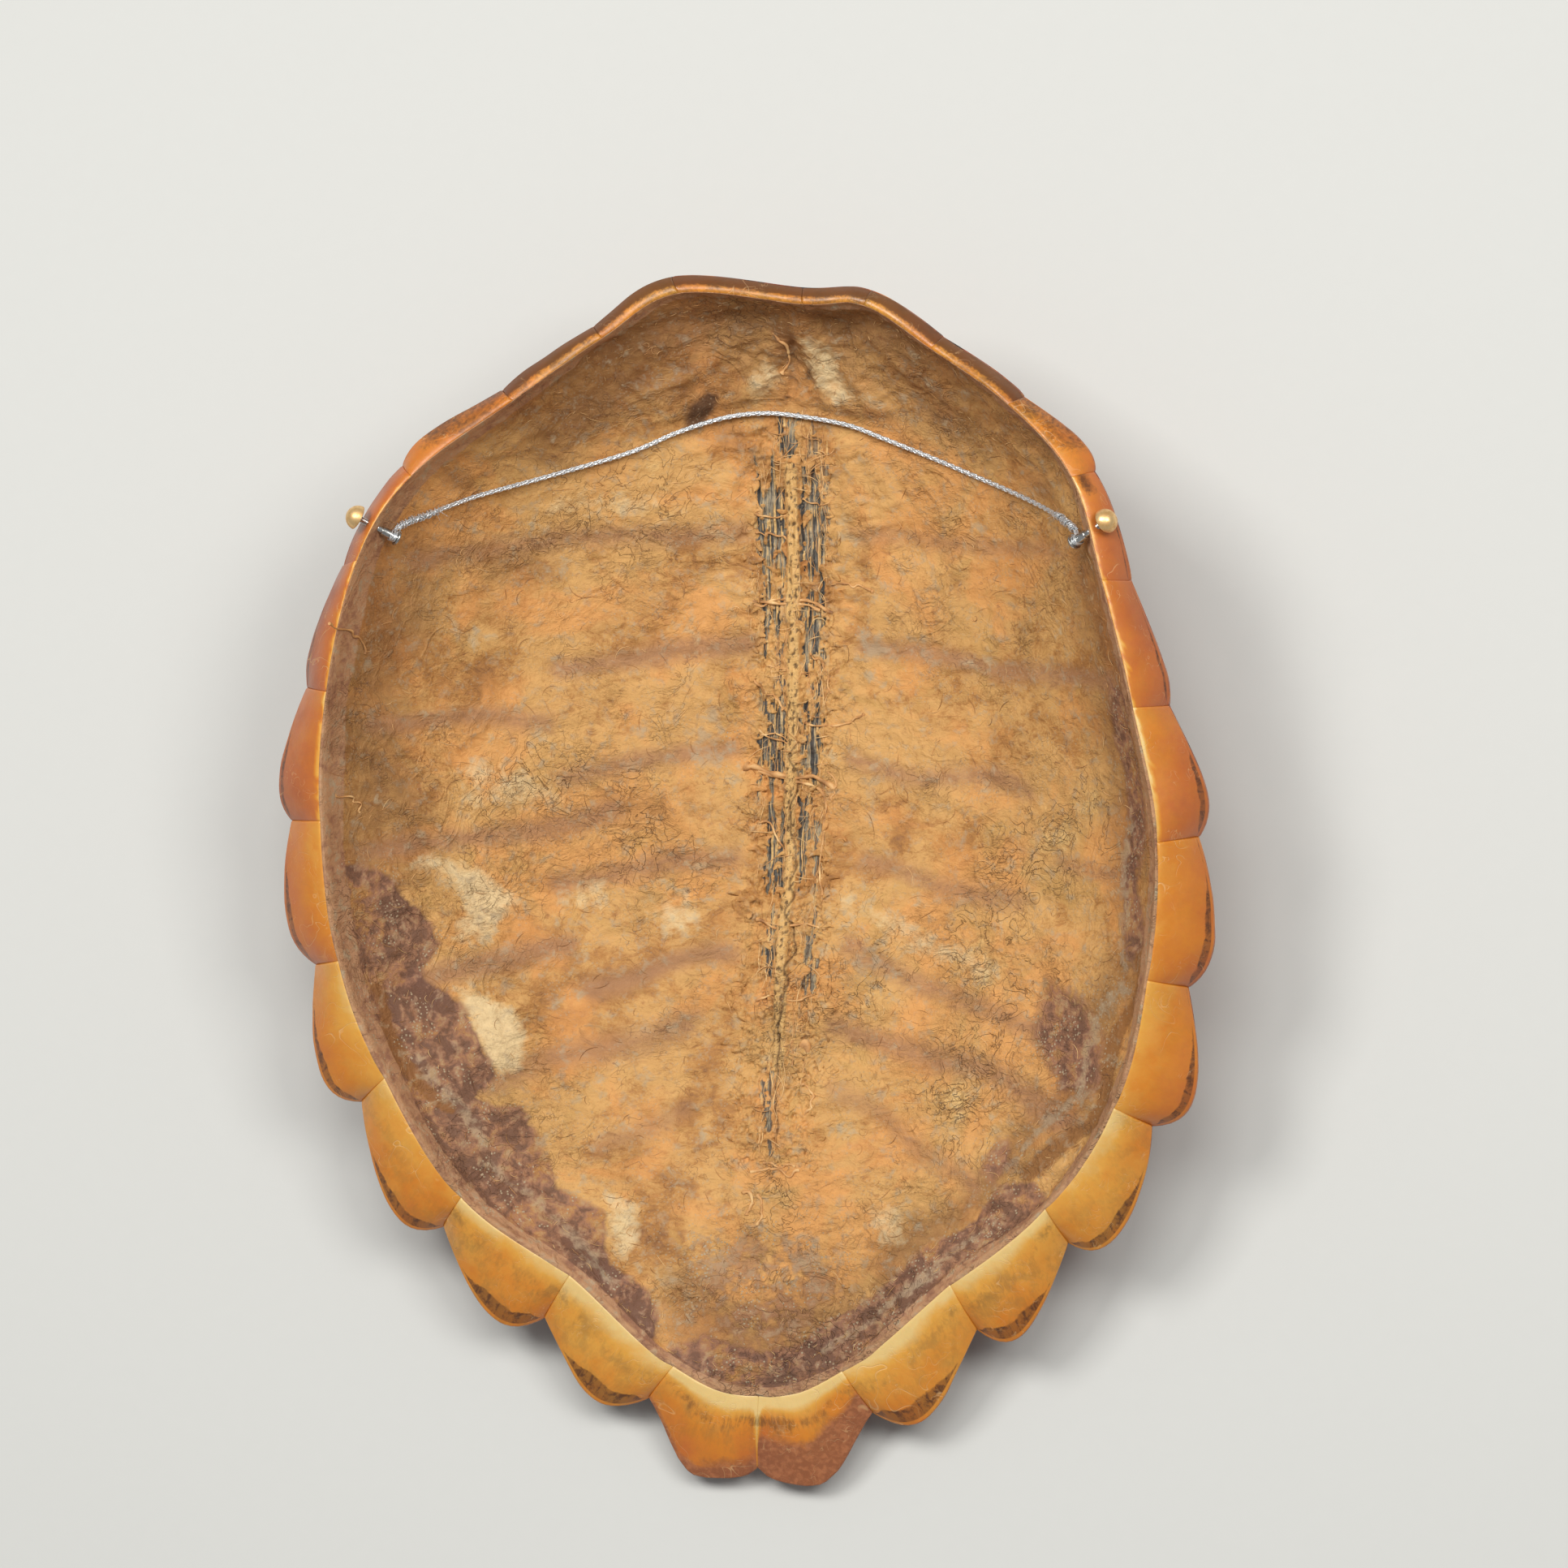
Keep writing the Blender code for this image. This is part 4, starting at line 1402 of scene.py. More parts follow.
    def core(self, x: Array, y: Array) -> Array:
        """Share of the strip along the spine that the torn column takes up."""
        return smooth((26 - np.abs(x + 3)) / 6) * smooth((y + 190) / 25) * smooth((292 - y) / 12)

    def lining(self, sink: float = 3.0) -> Array:
        """The hollow's grid with its relief along the smooth surface's normals.

        Args:
            sink: How far it drops in mm where the spine's column lies over it.

        Returns:
            Points, rows by columns.
        """
        u, way = self.ring()
        s = self.columns()
        inner = self.on_ring(FORM.hollow, s)
        rows = np.broadcast_to(u[:, None], inner.shape[:2])
        ways = np.broadcast_to(way[:, None], inner.shape[:2])
        across = np.broadcast_to(s, inner.shape[:2])
        relief = self.relief(inner[..., 0], inner[..., 1], rows, across, ways)
        relief = relief - sink * self.core(inner[..., 0], inner[..., 1])
        return inner + relief[..., None] * self.normals(inner)

    def skin(self) -> "Skin":
        """The finished hollow with its normals, for what lies on it."""
        points = self.lining(0.0)
        return Skin(points, self.normals(points))

    def build(self, finish: Material) -> Object:
        """Builds and dresses the skin.

        Args:
            finish: The membrane's material.

        Returns:
            The piece, which stands for the CAD carapace.
        """
        u, way = self.ring()
        s = self.columns()
        inner = self.lining()
        lip = self.on_ring(FORM.underside, np.array(self.lip_steps))
        sunk = self.inset * smooth((np.array(self.lip_steps) - 0.05) / 0.1)
        roll = 0.8 * np.exp(-(((np.array(self.lip_steps) - 0.04) / 0.03) ** 2))
        lip[..., 2] += roll - sunk
        back = self.on_ring(FORM.back, np.array(self.back_steps))
        back = back - self.inset * self.normals(back)
        points = np.concatenate((inner, lip, back), axis=1)
        total_s = np.broadcast_to(
            np.concatenate((s, 1 + np.array(self.lip_steps), 2 + 0 * np.array(self.back_steps))),
            points.shape[:2]
        )
        px, py = points[..., 0].ravel(), points[..., 1].ravel()
        values = self.paint(px, py, total_s.ravel())
        values["plan"] = np.stack((px, py, 0 * px), -1) * MM
        faces = grid_faces(points.shape[0], points.shape[1], closed_rows=True)
        return make_piece(
            "shell_bone", points.reshape(-1, 3), faces, finish, values, 70.0, 0.001,
            ("carapace",)
        )


@dataclass
class SpineColumn:
    """The strip along the spine where the membrane is torn open: bare dark bone streaked with
    straw-coloured fibres, a porous ridge between, and curled flaps at the torn edges."""

    hollow: Hollow
    spacing: float = 0.75
    left: float = -42.0
    right: float = 36.0
    top: float = 303.0
    bottom: float = -206.0
    flaps: int = 90
    side_flaps: int = 110
    strands: int = 420
    seed: int = 57

    def rim_place(self, x: Array, y: Array) -> tuple[Array, Array, Array]:
        """Finds where the hollow's straight rows pass through points in plan: the share is
        x over the lip's x, and the row is the one whose spine end is (y - s lip) / (1 - s).

        Args:
            x: Plan coordinates in mm.
            y: Plan coordinates in mm.

        Returns:
            Place along the rim, share across and the smooth hollow's height.
        """
        u, s, z = np.zeros(x.shape), np.zeros(x.shape), np.zeros(x.shape)
        stations = np.linspace(0, SCUTES, 1301)
        for side in Side:
            own = x * side.value >= 0 if side is Side.RIGHT else x < 0
            _, lip, _, lip_z, _, spine_y = FORM.row(side, stations)
            at = np.interp(-y[own], -spine_y, stations)
            for _ in range(12):
                share = np.clip(
                    np.abs(x[own]) / np.maximum(np.abs(np.interp(at, stations, lip[:, 0])), 1.0), 0, 0.9
                )
                root = (y[own] - share * np.interp(at, stations, lip[:, 1])) / (1 - share)
                at = 0.5 * at + 0.5 * np.interp(-root, -spine_y, stations)
            lip_y = np.interp(at, stations, lip[:, 1])
            climb = np.interp(at, stations, lip_z) - FORM.spine_height(lip_y)
            u[own], s[own] = at, share
            z[own] = FORM.spine_height(y[own]) + climb * FORM.rise(share)
        return u, s, z

    def bare(self, x: Array, y: Array) -> Array:
        """Mask of the windows: boxes whose sides wander and whose ends break into fingers."""
        side_jag = 1.1 * ripples(x * 0.4, y, 15, 501) + 0.4 * ripples(x * 0.5, y, 4.5, 502)
        end_jag = 6.5 * ripples(x, y * 0.05, 5.5, 503) + 2.5 * ripples(x, y * 0.2, 2.6, 504)
        mask = np.zeros(x.shape)
        for low, high, top, bottom, strength in WINDOWS:
            across = np.minimum(x - low, high - x) + side_jag
            along = np.minimum(y - bottom, top - y) + end_jag
            mask = np.maximum(mask, strength * smooth(across / 1.6 + 0.3) * smooth(along / 2.4 + 0.5))
        torn = smooth((ripples(x * 1.3, y, 13, 505) + 0.5 * ripples(x, y, 5.5, 506) + 1.75) / 0.4)
        return mask * torn

    def build(self, finish: Material, loose: Material) -> list[Object]:
        """Builds the strip, its flaps and its long fibres.

        Args:
            finish: The membrane's material.
            loose: The fibres' material.

        Returns:
            The pieces.
        """
        xs = np.arange(self.left, self.right + 0.01, self.spacing)
        ys = np.arange(self.top, self.bottom, -self.spacing)
        x, y = np.meshgrid(xs, ys)
        u, s, z = self.rim_place(x, y)
        relief = self.hollow.relief(x, y, u, s, np.sign(x))
        bare = self.bare(x, y)
        streak = ripples(x, y * 0.07, 3.0, 511) + 0.5 * ripples(x, y * 0.12, 1.9, 512)
        straw = smooth((streak - 1.2) / 0.45)
        jog = 1.5 * ripples(y, 0 * y, 90, 12)
        ridge = (
            np.exp(-(((x + 2.8 - 0.6 * jog) / 4.4) ** 6)) * smooth((y + 150) / 40) * smooth((266 - y) / 14)
        )
        pore = smooth((ripples(x, y * 0.6, 3.2, 513) - 0.75) / 0.5) * ridge
        rent = (
            np.exp(-(((x + 1.5 - 2.2 * ripples(y, 0 * y, 26, 514)) / 0.7) ** 2)) * smooth((112 - y) / 25)
            * smooth((y + 185) / 30)
        )
        curl = 4 * bare * (1 - bare)
        crumple = 1 - np.abs(ripples(x, y, 8.5, 515, 0.7)) + 0.6 * (1 - np.abs(ripples(x, y, 4.4, 516, 0.7)))
        detail = -1.9 * bare + 1.15 * bare * straw + 0.8 * curl + 1.9 * ridge - 0.8 * pore - 1.3 * rent
        detail += 0.95 * (1 - bare) * (1 - ridge) * (crumple - 0.6)
        inside = (
            smooth((33 - np.abs(x + 3) + 3.0 * ripples(x, y, 16, 517)) / 6) * smooth((y + 199) / 14)
            * smooth((298 - y) / 9)
        )
        wire = np.array(WIRE_ROUTE, float)[:, :2]
        clear = 1 - np.exp(-((distance_to(x, y, wire) / 6) ** 4))
        height = z + relief + detail * inside * (0.25 + 0.75 * clear) + 0.35 - 2.8 * (1 - inside)
        values = self.hollow.paint(x.ravel(), y.ravel(), s.ravel())
        values |= {"slate": (bare * (1 - 0.9 * straw)).ravel(), "straw": (bare * straw).ravel()}
        # The pit attribute also carries the ridge's pores and the tear, darkened partly as painted shade.
        values |= {
            "ridge": (ridge * (1 - bare)).ravel(),
            "pit": np.maximum(values["pit"], np.maximum(pore, rent).ravel())
        }
        values["plan"] = np.stack((x.ravel(), y.ravel(), 0 * x.ravel()), -1) * MM
        points = np.stack((x, y, height), -1)
        strip = make_piece(
            "spine_column", points.reshape(-1, 3), grid_faces(len(ys), len(xs))[:, ::-1], finish,
            values, 75.0,
        )
        return [strip, self.add_flaps(points, bare, finish), self.add_strands(points, loose)]

    def height_at(self, points: Array, x: Array, y: Array) -> Array:
        """The strip's height over places in plan, blended between its points."""
        col = np.clip((x - self.left) / self.spacing, 0, points.shape[1] - 1.001)
        row = np.clip((self.top - y) / self.spacing, 0, points.shape[0] - 1.001)
        i, j = row.astype(int), col.astype(int)
        a, b = row - i, col - j
        z = points[..., 2]
        return (
            (1 - a) * ((1 - b) * z[i, j] + b * z[i, j + 1])
            + a * ((1 - b) * z[i + 1, j] + b * z[i + 1, j + 1])
        )

    def add_flaps(self, points: Array, bare: Array, finish: Material) -> Object:
        """Tongues of membrane that curl over the torn edges, and more down both sides of the
        strip: the width falls along each as (1 - a^2.2)^0.6, and the tip lifts as a^1.6.

        Args:
            points: The strip's grid.
            bare: Its window mask.
            finish: The membrane's material.

        Returns:
            The piece.
        """
        rng = np.random.default_rng(self.seed)
        edge = np.argwhere((bare > 0.3) & (bare < 0.6))
        edge = edge[rng.integers(0, len(edge), self.flaps)]
        beside = np.abs(points[..., 0] + 3)
        beside = np.argwhere((beside > 21) & (beside < 33) & (np.abs(points[..., 1] - 40) < 215))
        beside = beside[rng.integers(0, len(beside), self.side_flaps)]
        slabs = []
        for index, (i, j) in enumerate(np.concatenate((edge, beside))):
            x, y = points[i, j, :2]
            i2, j2 = np.clip(i, 1, len(bare) - 2), np.clip(j, 1, bare.shape[1] - 2)
            slope = np.array((bare[i2, j2 + 1] - bare[i2, j2 - 1], bare[i2 - 1, j2] - bare[i2 + 1, j2]))
            heading = math.atan2(slope[1], slope[0]) + rng.normal(0, 0.7)
            length, width, lift = rng.uniform(4, 11), rng.uniform(1.2, 3.2), rng.uniform(0.4, 2.0)
            if index >= len(edge):
                heading = (0.0 if x > 0 else math.pi) + rng.normal(0, 1.1)
                length, width, lift = rng.uniform(6, 15), rng.uniform(1.6, 4.2), rng.uniform(0.4, 2.2)
            a, b = np.meshgrid(np.linspace(0, 0.985, 9), np.linspace(-1, 1, 6), indexing="ij")
            turn = heading + rng.normal(0, 0.8) * a
            half = width * (1 - a**2.2) ** 0.6 * (1 + 0.25 * np.sin(5 * a + rng.uniform(0, 6)))
            fx = x + (length * (a - 0.25)) * np.cos(turn) - half * b * np.sin(turn)
            fy = y + (length * (a - 0.25)) * np.sin(turn) + half * b * np.cos(turn)
            fz = self.height_at(points, fx, fy)
            base = fz[:3].mean()
            top = np.maximum(fz, base - 0.5) + 0.3 + lift * a**1.6 - (0.5 + 0.8 * a) * b * b * 0.6
            upper = np.stack((fx, fy, top), -1)
            slabs.append(slab(upper, upper - np.array((0.0, 0.0, 0.4)), True))
        made, faces = joined(slabs)
        values = self.hollow.paint(made[:, 0], made[:, 1], 0 * made[:, 0])
        values["plan"] = made * MM
        return make_piece("spine_flaps", made, faces, finish, values, 75.0)

    def add_strands(self, points: Array, finish: Material) -> Object:
        """Long dried fibres along the strip, most lengthwise and some across.

        Args:
            points: The strip's grid.
            finish: The fibres' material.

        Returns:
            The piece.
        """
        rng = np.random.default_rng(self.seed + 1)
        n, m = self.strands, 12
        low = np.array([window[:4] for window in WINDOWS])[rng.integers(0, len(WINDOWS), n)]
        x = rng.uniform(low[:, 0] - 3, low[:, 1] + 3)
        y = rng.uniform(low[:, 3] - 6, low[:, 2] + 6)
        crossing = rng.uniform(0, 1, n) < 0.22
        heading = np.where(crossing, rng.normal(0, 0.5, n), rng.normal(math.pi / 2, 0.16, n))
        length = np.where(crossing, rng.uniform(5, 18, n), rng.uniform(8, 30, n))
        t = np.linspace(-0.5, 0.5, m)[None]
        turn = heading[:, None] + rng.normal(0, 0.5, n)[:, None] * t
        px = x[:, None] + length[:, None] * t * np.cos(turn)
        py = y[:, None] + length[:, None] * t * np.sin(turn)
        base = self.height_at(points, px, py)
        span = np.maximum.accumulate(base, axis=1)
        taut = np.where(crossing[:, None], 0.55 * base.max(1, keepdims=True) + 0.45 * span, base)
        pz = taut + rng.uniform(0.0, 0.35, n)[:, None] + 0.15
        radius = rng.uniform(0.12, 0.34, n)[:, None] * (0.3 + 0.7 * np.cos(math.pi * t))
        made, faces = sweep(np.stack((px, py, pz), -1), radius, 5, (0.05, 0.02, 1.0))
        shade = np.repeat(0.25 + 0.75 * rng.uniform(0, 1, n) ** 0.8, m * 5)
        return make_piece("spine_fibres", made, faces, finish, {"shade": shade}, 80.0)


@dataclass
class Plates:
    """Common ways of the horn scutes, which are all slabs raised from a smooth surface."""

    thickness: float = 1.3
    rounding: float = 1.6

    def border(self, steps: int, crowd: int = 5) -> Array:
        """Places 0 to 1 with a few extra close to each end, for a rounded border.

        Args:
            steps: Even steps.
            crowd: Extra places at each end.

        Returns:
            The places.
        """
        close = 0.022 * (np.arange(1, crowd + 1) / crowd) ** 2
        even = np.linspace(0.045, 0.955, steps)
        return np.concatenate(([0.0], close, even, 1 - close[::-1], [1.0]))

    def rounded(self, points: Array) -> Array:
        """Quarter-round fall to the borders: sqrt(1 - (1 - d / r)^2) of the distance d in from
        the nearest border, times that of the other pair.

        Args:
            points: The slab's surface, rows by columns.

        Returns:
            Share of the full height at each point.
        """
        share = np.ones(points.shape[:2])
        for axis in (0, 1):
            step = np.linalg.norm(np.diff(points, axis=axis), axis=-1)
            zero = np.zeros_like(np.take(step, [0], axis=axis))
            inward = np.concatenate((zero, np.cumsum(step, axis=axis)), axis=axis)
            rest = np.take(inward, [-1], axis=axis) - inward
            d = np.clip(np.minimum(inward, rest) / self.rounding, 0, 1)
            share = share * np.sqrt(np.maximum(0, 1 - (1 - d) ** 2))
        return share

    def raise_slab(self, base: Array, height: Array, flip: bool) -> tuple[Array, Array, Array]:
        """Makes the closed slab: its top at the height along the normal, its bottom one
        thickness below the base.

        Args:
            base: Smooth surface points.
            height: Height above it in mm.
            flip: Whether the grid runs the mirrored way.

        Returns:
            Points, faces and the surface's normals.
        """
        normal = unit(np.cross(np.gradient(base, axis=0), np.gradient(base, axis=1)))
        normal = -normal if flip else normal
        top = base + normal * (height * self.rounded(base))[..., None]
        points, faces = slab(top, base - normal * self.thickness, flip)
        return points, faces, normal

    def piece(self, name: str, made: Sequence[Scute], finish: Material) -> Object:
        """Joins finished scutes into one piece of horn.

        Args:
            name: Piece name.
            made: The scutes.
            finish: The horn's material.

        Returns:
            The piece.
        """
        points, faces = joined([scute[:2] for scute in made])
        values = {key: np.concatenate([scute[2][key] for scute in made]) for key in made[0][2]}
        return make_piece(name, points, faces, finish, values, 55.0)


def twice(value: Array) -> Array:
    """A grid's values laid out for a slab: once for its top and once for its bottom."""
    flat = value.reshape(-1, value.shape[-1]) if value.ndim == 3 else value.ravel()
    return np.concatenate((flat, flat))


def ray_values(p: Array, q: Array, seed: float) -> Array:
    """Coordinates for streaks that fan out from near a scute's rear middle: angle and radius.

    Args:
        p: Places from front to rear.
        q: Places from side to side.
        seed: Keeps one scute's streaks apart from the next's.

    Returns:
        Vectors of angle, radius and seed.
    """
    dp, dq = 1.12 - p, q - 0.5
    angle = np.arctan2(dq, dp)
    return np.stack((angle * 5.5, np.hypot(dp, dq) * 1.4, np.full(p.shape, seed * 7.3)), -1)


@dataclass
class RimScutes(Plates):
    """The marginal scutes of one side, each wrapped round the free edge from the lip to the
    scutes of the back."""

    side: Side = Side.RIGHT
    honey: tuple[float, ...] = (0.62, 0.62, 0.6, 0.55, 0.34, 0.24, 0.36, 0.48, 0.58, 0.66, 0.68, 0.68, 0.44)
    smoke: tuple[float, ...] = (1.0, 1.0, 1.0, 0.7, 0.2, 0.3, 0.35, 0.25, 0.3, 0.7, 0.9, 0.7, 0.7)
    wedges: tuple[float, ...] = (0.0, 0.0, 0.0, 0.0, 0.04, 0.07, 0.09, 0.12, 0.12, 0.14, 0.17, 0.2, 0.0)
    inner_end: float = 0.055
    back_end: float = 0.8
    long_steps: int = 22

    def plate(self, index: int) -> Scute:
        """One scute: a slab on the underside, the edge and the outer part of the back in turn.

        Args:
            index: Its number, from the head's midline.

        Returns:
            Points, faces and attributes.
        """
        v = self.border(self.long_steps)
        under_b = self.inner_end + (1 - self.inner_end) * self.border(12, 4)
        back_s = 1 - (1 - self.back_end) * self.border(12, 3)[1:]
        u_under = index + np.broadcast_to(v[:, None], (len(v), len(under_b)))
        u_back = index + np.broadcast_to(v[:, None], (len(v), len(back_s)))
        under = FORM.underside(self.side, u_under, np.broadcast_to(under_b, u_under.shape), index)
        back = FORM.back(self.side, u_back, np.broadcast_to(back_s, u_back.shape), index)
        base = np.concatenate((under, back), axis=1)
        across = np.broadcast_to(np.concatenate((under_b, 2 - back_s)), base.shape[:2])
        along = np.broadcast_to(v[:, None], base.shape[:2])
        outer = smooth((np.broadcast_to(np.arange(base.shape[1]), base.shape[:2]) - len(under_b) + 2) / 3)
        lift = (1 - outer) * (1.15 - 0.75 * along) + outer * (0.35 + 1.35 * along**1.5)
        x, y = base[..., 0], base[..., 1]
        lift = lift + 0.12 * ripples(x, y, 30, 31 + index)
        points, faces, _ = self.raise_slab(base, lift, self.side is Side.LEFT)
        far = np.clip(across, 0, 1)
        inner = (1 - far) ** 1.5
        glow = self.honey[index] + (0.22 if index > 3 else 0.05) * inner - 0.1 * far + 0.14 * (0.5 - along)
        rusty, pale, belt = 0 * far, 0 * far, 0 * far
        dusk = smooth((far - 0.35) / 0.4) * 0.8 + 0.42 if index <= 2 else np.zeros(far.shape)
        if 4 <= index <= 6:
            worn_edge = far + 0.035 * ripples(x, y, 14, 80) + 0.02 * ripples(x, y, 5, 81)
            pale = 0.8 * smooth((0.13 - worn_edge) / 0.05)
        if index >= 10:
            belt = 0.9 * np.exp(-(((far - 0.4) / 0.11) ** 2)) * (0.4 + 0.6 * smooth(np.abs(2 * along - 1)))
            glow = glow + 0.14 * smooth((0.34 - far) / 0.25)
        if index == SCUTES - 1:
            dusk = 0.46 * np.exp(-(((far - 0.36) / 0.12) ** 2)) * (0.55 + 0.45 * along)
            glow = glow + 0.3 * smooth((0.32 - far) / 0.18)
            worn = (
                smooth((far - 0.4) / 0.3) if self.side is Side.RIGHT
                else 0.6 * smooth((far - 0.6) / 0.3) * smooth((along - 0.3) / 0.4)
            )
            rusty = 1.1 * worn + 0.7 * smooth((far - 0.88) / 0.1)
            pale = smooth(1 - (1 - along) * 70 / (1 + 5 * np.clip(1 - far / 0.8, 0, 1)))
        if index == 3:
            dusk = 0.62 * smooth((0.95 - along) / 0.4) * (0.6 + 0.4 * far)
        if index == 4 and self.side is Side.RIGHT:
            dusk = 0.7 * smooth((0.32 - along) / 0.2) * np.exp(-(((far - 0.45) / 0.3) ** 2))
        values = {
            "honey": glow + 0.5 * pale,
            "smoke": (np.full(along.shape, self.smoke[index]) * smooth(far * 2) + belt) * (1 - pale),
            "sliver": dusk * (1 - 0.5 * outer),
            "rusty": rusty * (1 - pale),
            "outer": outer,
            "place": np.stack(
                (along, np.where(across > 1, 0.0, across), np.full(far.shape, self.wedges[index])), -1
            ),
            "ray": ray_values(along, across - 1, index + 1.0),
        }
        values = {key: twice(value) for key, value in values.items()}
        return points, faces, values

    def build(self, finish: Material) -> Object:
        """Builds the side's scutes as one piece.

        Args:
            finish: The horn's material.

        Returns:
            The piece.
        """
        made = [self.plate(index) for index in range(SCUTES)]
        return self.piece(f"rim_scutes_{self.side.name.lower()}", made, finish)


@dataclass
class BackScutes(Plates):
    """The scutes of the back: five along the spine and four down each side. Each lies between
    two border lines given in (u, s), and its rear overlaps the next."""

    steps: int = 44
    overlap: float = 0.035
    # Corners in (u, s) of the spine scutes' half border, front to rear.
    spine: tuple[tuple[tuple[float, float], ...], ...] = (
        ((0.0, 0.8), (1.5, 0.8), (2.8, 0.46), (4.0, 0.15)),
        ((4.0, 0.15), (4.5, 0.22), (5.0, 0.27), (5.5, 0.22), (6.0, 0.15)),
        ((6.0, 0.15), (6.5, 0.22), (7.05, 0.27), (7.6, 0.22), (8.1, 0.15)),
        ((8.1, 0.15), (8.6, 0.21), (9.15, 0.25), (9.6, 0.21), (10.1, 0.15)),
        ((10.1, 0.15), (10.8, 0.44), (11.6, 0.8), (13.0, 0.8)),
    )
    # For each side scute: its inner border, then its outer border, front to rear.
    ribs: tuple[tuple[tuple[tuple[float, float], ...], tuple[tuple[float, float], ...]], ...] = (
        (((1.5, 0.785), (2.8, 0.46), (4.0, 0.15), (4.5, 0.22), (5.0, 0.27)), ((1.62, 0.8), (4.6, 0.8))),
        (((5.0, 0.27), (5.5, 0.22), (6.0, 0.15), (6.5, 0.22), (7.05, 0.27)), ((4.6, 0.8), (7.0, 0.8))),
        (((7.05, 0.27), (7.6, 0.22), (8.1, 0.15), (8.6, 0.21), (9.15, 0.25)), ((7.0, 0.8), (9.2, 0.8))),
        (((9.15, 0.25), (9.6, 0.21), (10.1, 0.15), (10.8, 0.44), (11.55, 0.785)), ((9.2, 0.8), (11.45, 0.8))),
    )

    def along_line(self, line: Sequence[tuple[float, float]], t: Array) -> Array:
        """Places at the shares t of the way along a line's corners, in (u, s)."""
        corners = np.array(line, float)
        at = t * (len(corners) - 1)
        return np.stack([np.interp(at, np.arange(len(corners)), corners[:, k]) for k in (0, 1)], -1)

    def back_points(self, u: Array, s: Array) -> Array:
        """Points of the back at (u, s), with s below zero on the left."""
        u = np.clip(u, 0, SCUTES)
        right = FORM.back(Side.RIGHT, u, np.abs(s))
        left = FORM.back(Side.LEFT, u, np.abs(s))
        return np.where((s >= 0)[..., None], right, left)

    def dressed(self, u: Array, s: Array, p: Array, q: Array, seed: int, flip: bool) -> Scute:
        """Raises one scute: low at its front, high at its rear, with faint growth rings.

        Args:
            u: Places along the rim.
            s: Places from the spine, signed by side.
            p: Places from front to rear.
            q: Places from side to side.
            seed: The scute's number.
            flip: Whether the grid runs the mirrored way.

        Returns:
            Points, faces and attributes.
        """
        base = self.back_points(u, s)
        lift = 0.4 + 1.7 * np.clip(p, 0, 1) ** 1.6
        rings = np.hypot(1.0 - p, (q - 0.5) * 1.2)
        lift = (
            lift
            + 0.09 * np.sin(
                rings * 75 + 1.5 * ripples(base[..., 0], base[..., 1], 45, 40 + seed)
            ) * smooth(rings * 2)
        )
        lift = lift + 0.2 * ripples(base[..., 0], base[..., 1], 50, 60 + seed)
        keel = 1.2 * np.exp(-((base[..., 0] / 5) ** 2)) * smooth(p * 3)
        room = REST.place(base)[..., 2] / MM
        points, faces, _ = self.raise_slab(base, np.minimum(lift + keel, 0.1 + room), flip)
        values = {
            "honey": np.full(p.shape, 0.5),
            "smoke": 0 * p,
            "sliver": 0 * p,
            "rusty": 0 * p,
            "outer": np.ones(p.shape),
            "place": np.stack((p, 0 * p, 0 * p), -1),
            "ray": ray_values(p, q, seed + 20.0),
        }
        values = {key: twice(value) for key, value in values.items()}
        return points, faces, values

    def spine_scute(self, index: int) -> Scute:
        """A scute across the spine: rows of equal share along both half borders, bowed towards
        the tail at the middle."""
        p = self.border(self.steps) * (1 + (self.overlap if index < 4 else 0))
        q = self.border(self.steps)
        edge = self.along_line(self.spine[index], np.clip(p, 0, 1))
        far = np.abs(2 * q - 1)[None, :]
        first, last = self.spine[index][0][0], self.spine[index][-1][0]
        middle = first + (last - first) * p
        u = edge[:, 0][:, None] * far + middle[:, None] * (1 - far)
        bow = (0 if index == 0 else 0.32) * (1 - p) + (0.32 if index < 4 else 0) * p
        u = u + bow[:, None] * (1 - far)
        s = edge[:, 1][:, None] * (1 - 2 * q)[None, :] * -1
        grid_p, grid_q = np.broadcast_arrays(p[:, None], q[None, :])
        return self.dressed(u, s, grid_p, grid_q, index, True)

    def rib_scute(self, index: int, side: Side) -> Scute:
        """A scute of the side: straight across in (u, s) between its inner and outer borders."""
        p = self.border(self.steps) * (1 + (self.overlap if index < 3 else 0))
        q = self.border(self.steps)
        inner, outer = self.ribs[index]
        start = self.along_line(inner, np.clip(p, 0, 1))[:, None]
        end = self.along_line(outer, np.clip(p, 0, 1))[:, None]
        over = np.clip(p - 1, 0, 1)[:, None] * 2.2
        place = start + (end - start) * q[None, :, None]
        u, s = place[..., 0] + over, place[..., 1] * side.value
        grid_p, grid_q = np.broadcast_arrays(p[:, None], q[None, :])
        return self.dressed(
            u, s, grid_p, grid_q, 5 + index + (4 if side is Side.LEFT else 0), side is Side.RIGHT
        )

    def build(self, finish: Material) -> Object:
        """Builds all the back's scutes as one piece.

        Args:
            finish: The horn's material.

        Returns:
            The piece.
        """
        made = [self.rib_scute(index, side) for side in Side for index in range(4)]
        made += [self.spine_scute(index) for index in range(5)]
        return self.piece("back_scutes", made, finish)


